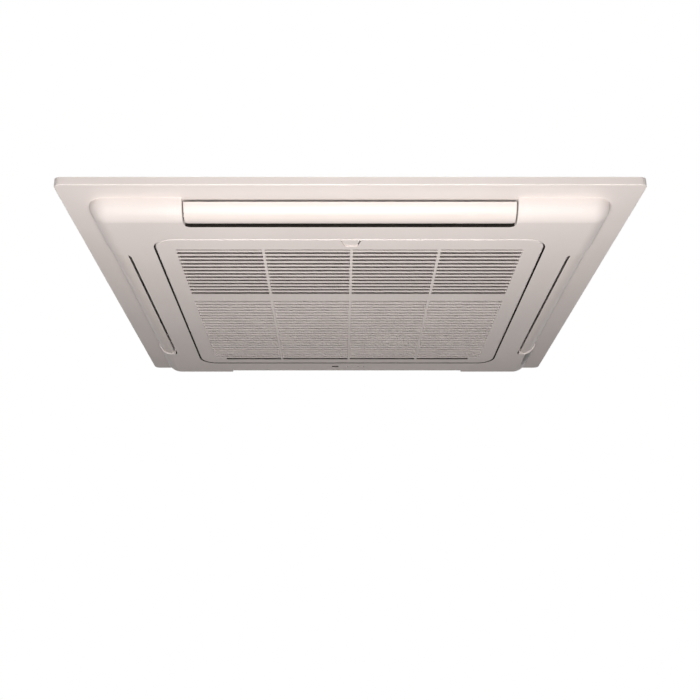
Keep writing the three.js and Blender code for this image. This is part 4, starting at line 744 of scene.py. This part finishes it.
# Bent arms rise from the far edge, pass over the edge of the opening and end in the pins.
KNUCKLE = 2.4 * MM
ARM = 3 * MM
for x in (-HINGE_X, HINGE_X):
    left, right = x - ARM_HALF, x + ARM_HALF
    wall_inside, drop_back = GRILLE_HALF - GRILLE_WALL, HINGE_OUT + KNUCKLE - MM
    arm = block("arm", (left, wall_inside, ARM_TOP - ARM), (right, drop_back, ARM_TOP))
    root = block("root", (left, wall_inside, GRILLE_TOP - MM),
                 (right, GRILLE_HALF, ARM_TOP - ARM / 2))
    drop = block("drop", (left, HINGE_OUT - KNUCKLE, HINGE_Z),
                 (right, drop_back, ARM_TOP - ARM / 2))
    knuckle = cylinder("knuckle", KNUCKLE, (left, HINGE_OUT, HINGE_Z),
                       (right, HINGE_OUT, HINGE_Z), "X")
    pin = cylinder("pin", HINGE_PIN, (x - CHEEK_TO, HINGE_OUT, HINGE_Z),
                   (x + CHEEK_TO, HINGE_OUT, HINGE_Z), "X")
    combine(arm, [root, drop, knuckle, pin], "UNION")
    combine(grille, [arm], "UNION")
grille.data.materials.clear()
grille.data.materials.append(white_plastic)
smooth(grille, 40)
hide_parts("intake_grille")
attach(grille, "grille")

# ------------------------------------------------------------------ grille latch
# A finger pad behind the tapered opening in the near border, on a slide whose nose enters
# the panel's keeper. The same white plastic.
body_of = {name: body for body, names in frame["record"]["behaviour"]["bodies"].items()
           for name in names}


def dress(piece, name, material, degrees=35):
    """Gives a finished piece its material and its body, and hides the built node it replaces."""
    piece.data.materials.clear()
    piece.data.materials.append(material)
    smooth(piece, degrees)
    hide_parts(name)
    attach(piece, body_of[name])
    return piece


def worked_piece(name, material, edge, degrees=35):
    """A piece in its built form, with its edges broken and its finish on it."""
    piece = bpy.data.objects.new(f"{name}_finished", nodes[name].data.copy())
    bpy.context.scene.collection.objects.link(piece)
    edit(piece, "VERT")
    bpy.ops.mesh.select_all(action="SELECT")
    bpy.ops.mesh.remove_doubles(threshold=1e-6)
    bpy.ops.mesh.dissolve_limited(angle_limit=math.radians(0.5))
    close_edit()
    if edge > 0:
        apply_modifier(piece, "BEVEL", width=edge, segments=2, limit_method="ANGLE",
                       angle_limit=math.radians(degrees))
    return dress(piece, name, material, degrees)


worked_piece("grille_latch", white_plastic, 0.4 * MM)

# ------------------------------------------------------------------ seal, bushes and steppers
# Grey closed-cell foam lies on the panel's ducts. Each vane turns in a grey nylon bush at
# one end and on the shaft of a small geared stepper in a plated can at the other.
grey_foam = grained("grey_foam", (0.075, 0.078, 0.082), (0.055, 0.058, 0.060),
                    coarse=40, fine=500, roughness=0.92, depth=0.0006)
grey_plastic = grained("grey_plastic", (0.28, 0.29, 0.29), (0.24, 0.25, 0.25),
                       coarse=12, fine=1200, roughness=0.5, depth=0.00004)
steel = grained("steel", (0.50, 0.51, 0.52), (0.42, 0.43, 0.44),
                coarse=25, fine=900, roughness=0.34, depth=0.00003, metallic=0.95)
worked_piece("panel_seal", grey_foam, 0.6 * MM)
for side in SIDES:
    worked_piece(f"vane_bush_{side}", grey_plastic, 0.3 * MM, 50)
    worked_piece(f"vane_motor_{side}", steel, 0.3 * MM, 50)

# ------------------------------------------------------------------ filter
# A woven nylon net in a dark moulded frame with two bars each way. It lies loose on the
# border of the grille, behind the slats, and slides out towards the near edge.
dark_plastic = grained("dark_plastic", (0.030, 0.028, 0.026), (0.022, 0.020, 0.019),
                       coarse=12, fine=1200, roughness=0.5, depth=0.00004)
NET_SCALE = 130.0                   # of the wave that draws the net's threads


def net_relief(tree, place):
    """Crossed threads of a net."""
    threads = []
    for direction in ("X", "Y"):
        wave = tree.nodes.new("ShaderNodeTexWave")
        wave.bands_direction = direction
        wave.inputs["Scale"].default_value = NET_SCALE
        tree.links.new(place, wave.inputs["Vector"])
        threads.append(wave.outputs["Fac"])
    over = tree.nodes.new("ShaderNodeMath")
    over.operation = "MAXIMUM"
    for i in range(2):
        tree.links.new(threads[i], over.inputs[i])
    return over.outputs[0]


def add_relief(material, relief, depth):
    """Puts a repeated relief under a material's grain."""
    tree = material.node_tree
    place = next(node for node in tree.nodes if node.type == "TEX_COORD")
    grain_bump = next(node for node in tree.nodes if node.type == "BUMP")
    bump = tree.nodes.new("ShaderNodeBump")
    bump.inputs["Distance"].default_value = depth
    bump.inputs["Strength"].default_value = 0.8
    tree.links.new(relief(tree, place.outputs["Object"]), bump.inputs["Height"])
    tree.links.new(bump.outputs["Normal"], grain_bump.inputs["Normal"])


net_cloth = grained("filter_net", (0.060, 0.065, 0.068), (0.045, 0.048, 0.050),
                    coarse=20, fine=700, roughness=0.85, depth=0.0002)
add_relief(net_cloth, net_relief, 0.0006)
worked_piece("filter_frame", dark_plastic, 0.4 * MM)
worked_piece("filter_net", net_cloth, 0)

# ------------------------------------------------------------------ receiver and lights
# A smoked window and four small dark lenses show in the far strip of the panel. Behind
# them lies one green board, under a moulded lid.
lens_plastic = grained("lens_plastic", (0.055, 0.042, 0.034), (0.050, 0.038, 0.030),
                       coarse=30, fine=900, roughness=0.12, depth=0.000005)
board_green = grained("circuit_board", (0.020, 0.105, 0.045), (0.012, 0.070, 0.030),
                      coarse=120, fine=500, roughness=0.4, depth=0.0001)
lamp_lens = grained("lamp_lens", (0.035, 0.032, 0.03), (0.028, 0.026, 0.024),
                    coarse=30, fine=900, roughness=0.2, depth=0.000005)
worked_piece("receiver_window", lens_plastic, 0.35 * MM)
board = worked_piece("display_board", board_green, 0.2 * MM)
board.data.materials.append(lamp_lens)
for polygon in board.data.polygons:
    if polygon.center.z < BOTTOM + WALL:
        polygon.material_index = 1
worked_piece("receiver_cover", dark_plastic, 0.5 * MM)

# ------------------------------------------------------------------ panel screws
# Four plated steel screws, one through the gusset in each corner of the intake. They go
# up into the body and hold the panel.
for i in range(1, 5):
    worked_piece(f"panel_screw_{i}", steel, 0.5 * MM, 50)

# ------------------------------------------------------------------ body casing and brackets
# Folded galvanised sheet with cut corners, a lid with pressed ribs, and an angle bracket
# on each corner for its hanging rod.
SPANGLE_SCALE = 110.0


def spangle_relief(tree, place):
    """The faint crystal pattern of hot-dip zinc."""
    cells = tree.nodes.new("ShaderNodeTexVoronoi")
    cells.inputs["Scale"].default_value = SPANGLE_SCALE
    tree.links.new(place, cells.inputs["Vector"])
    return cells.outputs["Color"]


galvanised = grained("galvanised_sheet", (0.62, 0.64, 0.66), (0.47, 0.49, 0.52),
                     coarse=45, fine=700, roughness=0.38, depth=0.00004, metallic=0.9)
add_relief(galvanised, spangle_relief, 0.00005)
for name in ("side_casing", "top_plate", *[f"hanger_bracket_{i}" for i in range(1, 5)]):
    worked_piece(name, galvanised, 0.5 * MM)

# ------------------------------------------------------------------ liner and drain pan
# Both are moulded of white bead foam. The liner lines the casing, and the pan has the air's
# outlets and a trough for the water under the coil.
BEAD_SCALE = 260.0


def bead_relief(tree, place):
    """The pressed beads of expanded foam."""
    beads = tree.nodes.new("ShaderNodeTexVoronoi")
    beads.inputs["Scale"].default_value = BEAD_SCALE
    tree.links.new(place, beads.inputs["Vector"])
    return beads.outputs["Distance"]


polystyrene = grained("polystyrene", (0.80, 0.80, 0.79), (0.73, 0.73, 0.72),
                      coarse=60, fine=260, roughness=0.85, depth=0.0003)
add_relief(polystyrene, bead_relief, 0.0004)
for name in ("foam_liner", "drain_pan"):
    worked_piece(name, polystyrene, 1.0 * MM)

# ------------------------------------------------------------------ heat exchanger
# A ring of thin upright aluminium fins round the fan, open at one corner between two
# end plates.
FIN_SCALE = 140.0


def fin_relief(tree, place):
    """Upright fins side by side along every stretch of the ring."""
    parts = tree.nodes.new("ShaderNodeSeparateXYZ")
    tree.links.new(place, parts.inputs[0])
    along = tree.nodes.new("ShaderNodeMath")
    along.operation = "ADD"
    tree.links.new(parts.outputs["X"], along.inputs[0])
    tree.links.new(parts.outputs["Y"], along.inputs[1])
    line = tree.nodes.new("ShaderNodeCombineXYZ")
    tree.links.new(along.outputs[0], line.inputs["X"])
    fins = tree.nodes.new("ShaderNodeTexWave")
    fins.inputs["Scale"].default_value = FIN_SCALE
    tree.links.new(line.outputs[0], fins.inputs["Vector"])
    return fins.outputs["Fac"]


aluminium = grained("aluminium_fins", (0.60, 0.62, 0.64), (0.50, 0.52, 0.54),
                    coarse=25, fine=600, roughness=0.4, depth=0.0001, metallic=0.9)
add_relief(aluminium, fin_relief, 0.0012)
worked_piece("heat_exchanger", aluminium, 0.5 * MM)

# ------------------------------------------------------------------ bell mouth
# A dark moulded plate over the filter. Its round mouth turns up into a throat and leads
# the air into the fan.
MOUTH_HALF = 318 * MM
MOUTH_CORNER = 60 * MM
MOUTH_LOW = 8.2 * MM
MOUTH_WALL = 2.5 * MM
MOUTH_RADIUS = 228 * MM
THROAT_RADIUS = 158 * MM
MOUTH_RISE = 52 * MM
THROAT_LIP = 8 * MM
FLARE_LAP = 0.5 * MM                # by which the flare and its plate overlap


def spun(name, points):
    """A closed profile of (radius, height) points turned once round Z."""
    deselect()
    bpy.ops.mesh.primitive_plane_add(size=1)
    piece = bpy.context.object
    piece.name = name
    mesh = edit(piece, "VERT")
    bmesh.ops.delete(mesh, geom=list(mesh.verts), context="VERTS")
    ring = [mesh.verts.new((radius, 0, z)) for radius, z in points]
    for a, b in zip(ring, ring[1:] + ring[:1]):
        mesh.edges.new((a, b))
    bmesh.update_edit_mesh(piece.data)
    bpy.ops.mesh.select_all(action="SELECT")
    bpy.ops.mesh.spin(steps=ROUND_STEPS, angle=2 * math.pi, center=(0, 0, 0), axis=(0, 0, 1))
    bpy.ops.mesh.select_all(action="SELECT")
    bpy.ops.mesh.remove_doubles(threshold=1e-6)
    bpy.ops.mesh.normals_make_consistent(inside=False)
    close_edit()
    return piece


def flare_line(outward):
    """The mouth's quarter ellipse, up to the lip of the throat."""
    points = []
    for i in range(13):
        turn = i / 12 * math.pi / 2
        across, down = math.sin(turn), math.cos(turn)
        radius = THROAT_RADIUS + (MOUTH_RADIUS - THROAT_RADIUS) * (1 - across) + outward * across
        points.append((radius, MOUTH_LOW + MOUTH_RISE * (1 - down) + outward * down))
    points.append((THROAT_RADIUS + outward, MOUTH_LOW + MOUTH_RISE + THROAT_LIP))
    return points


mouth = block("mouth_moulding", (-MOUTH_HALF, -MOUTH_HALF, MOUTH_LOW),
              (MOUTH_HALF, MOUTH_HALF, MOUTH_LOW + MOUTH_WALL))
round_edges(mouth, MOUTH_CORNER, 12, upright)
mouth_hole = cylinder("mouth_hole", MOUTH_RADIUS - FLARE_LAP, (0, 0, 0),
                      (0, 0, MOUTH_LOW + 4 * MM), "Z", ROUND_STEPS)
combine(mouth, [mouth_hole], "DIFFERENCE")
flare = spun("flare", flare_line(0) + flare_line(MOUTH_WALL)[::-1])
combine(mouth, [flare], "UNION")
dress(mouth, "bell_mouth", dark_plastic)

# ------------------------------------------------------------------ turbo fan
# One dark moulding: seven backward-curved blades between an inlet shroud and a dished back
# plate, whose hub is held on the motor's shaft by a brass nut.
FAN_RADIUS = 229 * MM
FAN_INLET = 164 * MM
FAN_BOTTOM = 62 * MM
FAN_TOP = 206 * MM
SHROUD_RISE = 32 * MM
FAN_WALL = 2.4 * MM
DISH_RADIUS = 95 * MM
DISH_FLOOR_RADIUS = 60 * MM
DISH_DEPTH = 46 * MM
HUB_RADIUS = 15 * MM
HUB_DROP = 11 * MM
SHAFT_HOLE = 6.3 * MM
BLADES = 7
BLADE_INNER = 146 * MM
BLADE_SWEEP = math.radians(46)
BLADE_THICKNESS = 6 * MM
BLADE_OVERRUN = 4 * MM              # at both ends, before the passage trims it
BLADE_FOOT = 26 * MM                # height of a blade's inner corner above the inlet
BLADE_RAKE = 4 * MM                 # by which that corner lies further out than the top


def shroud_line(offset):
    """The shroud's quarter curve, from its inlet to its rim."""
    points = [(FAN_INLET + offset, FAN_BOTTOM)]
    for i in range(11):
        angle = i / 10 * math.pi / 2
        points.append((FAN_INLET + offset + (FAN_RADIUS - FAN_INLET) * (1 - math.cos(angle)) * 0.98,
                       FAN_BOTTOM + 6 * MM + SHROUD_RISE * math.sin(angle) - 0.2 * offset))
    return points


def back_line(offset):
    """The back plate, from its rim down into the dish."""
    return [(FAN_RADIUS, FAN_TOP - offset), (DISH_RADIUS + 0.4 * offset, FAN_TOP - offset),
            (DISH_FLOOR_RADIUS + 0.4 * offset, FAN_TOP - DISH_DEPTH - offset)]


def fan_blade(index):
    """One blade: an aerofoil in plan, as tall as the fan."""
    pressure, suction = [], []
    reach = FAN_RADIUS - BLADE_INNER + 2 * BLADE_OVERRUN
    for k in range(13):
        share = k / 12
        radius = BLADE_INNER - BLADE_OVERRUN + share * reach
        angle = index / BLADES * 2 * math.pi - BLADE_SWEEP * share ** 0.85
        thickness = BLADE_THICKNESS * (0.35 + 0.65 * math.sin(math.pi * (share * 0.8 + 0.15)))
        spread = 0.75 * thickness / radius
        pressure.append((radius * math.cos(angle - spread), radius * math.sin(angle - spread)))
        suction.append((radius * math.cos(angle + spread), radius * math.sin(angle + spread)))
    deselect()
    bpy.ops.mesh.primitive_plane_add(size=1)
    blade = bpy.context.object
    mesh = edit(blade, "FACE")
    bmesh.ops.delete(mesh, geom=list(mesh.verts), context="VERTS")
    face = mesh.faces.new([mesh.verts.new((x, y, FAN_BOTTOM)) for x, y in pressure + suction[::-1]])
    face.select = True
    bmesh.update_edit_mesh(blade.data)
    bpy.ops.mesh.extrude_region_move(TRANSFORM_OT_translate={"value": (0, 0, FAN_TOP - FAN_BOTTOM)})
    bpy.ops.mesh.select_all(action="SELECT")
    bpy.ops.mesh.normals_make_consistent(inside=False)
    close_edit()
    return blade


dish_floor_z = FAN_TOP - DISH_DEPTH
passage = spun("passage", [(BLADE_INNER, FAN_TOP - MM), (FAN_RADIUS - MM, FAN_TOP - MM),
                           (FAN_RADIUS - MM, FAN_BOTTOM + SHROUD_RISE + 5 * MM),
                           *shroud_line(FAN_WALL / 2)[1:-1][::-1],
                           (BLADE_INNER + BLADE_RAKE, FAN_BOTTOM + BLADE_FOOT)])
fan_blades = []
for i in range(BLADES):
    one = fan_blade(i)
    apply_modifier(one, "BOOLEAN", object=passage, operation="INTERSECT", solver="EXACT")
    fan_blades.append(one)
bpy.data.objects.remove(passage)
fan = spun("fan_moulding", [*back_line(0), (SHAFT_HOLE, dish_floor_z),
                            (SHAFT_HOLE, dish_floor_z - HUB_DROP),
                            (HUB_RADIUS, dish_floor_z - HUB_DROP),
                            (HUB_RADIUS, dish_floor_z - FAN_WALL),
                            *back_line(FAN_WALL)[::-1]])
shroud = spun("shroud", shroud_line(0) + shroud_line(FAN_WALL)[::-1])
combine(fan, [*fan_blades, shroud], "UNION")
dress(fan, "turbo_fan", dark_plastic, 30)
brass = grained("brass", (0.62, 0.46, 0.18), (0.54, 0.39, 0.15),
                coarse=30, fine=900, roughness=0.28, depth=0.00002, metallic=1.0)
worked_piece("motor_shaft", steel, 0.5 * MM, 50)
worked_piece("fan_nut", brass, 0.5 * MM)

# ------------------------------------------------------------------ fan motor
# A plated steel can that hangs in the dish of the fan. Its four ears have a rubber mount
# each, under the lid of the casing.
rubber = grained("rubber", (0.020, 0.020, 0.020), (0.014, 0.014, 0.014),
                 coarse=20, fine=900, roughness=0.8, depth=0.00005)
worked_piece("fan_motor", steel, 0.6 * MM)
for i in range(1, 5):
    worked_piece(f"motor_mount_{i}", rubber, 0.8 * MM)

# ------------------------------------------------------------------ electrical box
# A box folded of galvanised sheet, under the plate of the bell mouth. It holds the green
# control board, and a lid of the same sheet closes it.
for name in ("control_box", "control_box_cover"):
    worked_piece(name, galvanised, 0.4 * MM)
worked_piece("control_board", board_green, 0.3 * MM)

# ------------------------------------------------------------------ drain pump and float switch
# A grey plastic pump in the near right corner lifts the water out of the pan. Beside it a
# foam float rides on the stem of its switch.
worked_piece("drain_pump", grey_plastic, 1.2 * MM)
worked_piece("float_switch", grey_plastic, 0.4 * MM)
worked_piece("float", polystyrene, 0.8 * MM)

# ------------------------------------------------------------------ pipes
# Two drawn copper tubes lead from the coil to their brass flare nuts, and a grey drain
# outlet leads from the pump. Each has one round bend.
copper = grained("copper", (0.62, 0.30, 0.17), (0.50, 0.22, 0.12),
                 coarse=30, fine=700, roughness=0.3, depth=0.00002, metallic=1.0)
TUBE_WALL = 1.2 * MM
PIPE_BEND = 30 * MM
DRAIN_BEND = 28 * MM


def bent_tube(name, start, corner, end, radius, bend):
    """A tube with a straight run, one round bend and another straight run."""
    start, corner, end = Vector(start), Vector(corner), Vector(end)
    before = corner + (start - corner).normalized() * bend
    after = corner + (end - corner).normalized() * bend
    curve = bpy.data.curves.new(name, "CURVE")
    curve.dimensions = "3D"
    curve.bevel_depth = radius
    curve.bevel_resolution = 6
    spline = curve.splines.new("BEZIER")
    spline.bezier_points.add(3)
    places = (start, before, after, end)
    handles = ((start, before), (start, before + (corner - before) * 2 / 3),
               (after + (corner - after) * 2 / 3, end), (after, end))
    for point, place, (left, right) in zip(spline.bezier_points, places, handles):
        point.co = place
        point.handle_left = left
        point.handle_right = right
    tube = bpy.data.objects.new(name, curve)
    bpy.context.scene.collection.objects.link(tube)
    deselect()
    tube.select_set(True)
    bpy.context.view_layer.objects.active = tube
    bpy.ops.object.convert(target="MESH")
    tube = bpy.context.object
    apply_modifier(tube, "SOLIDIFY", thickness=TUBE_WALL, offset=-1)
    return tube


for name in ("gas_pipe", "liquid_pipe"):
    low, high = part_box(name)
    radius = (high[2] - low[2]) / 2
    x, y, z = low[0] + radius, high[1] - radius, (low[2] + high[2]) / 2
    pipe = bent_tube(f"{name}_tube", (x, low[1], z), (x, y, z), (high[0], y, z), radius, PIPE_BEND)
    dress(pipe, name, copper, 50)
for name in ("gas_flare_nut", "liquid_flare_nut"):
    worked_piece(name, brass, 0.6 * MM)
low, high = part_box("drain_outlet")
radius = (high[1] - low[1]) / 2
x, y, z = low[0] + radius, (low[1] + high[1]) / 2, high[2] - radius
outlet = bent_tube("drain_tube", (x, y, low[2]), (x, y, z), (high[0], y, z), radius, DRAIN_BEND)
dress(outlet, "drain_outlet", grey_plastic, 50)
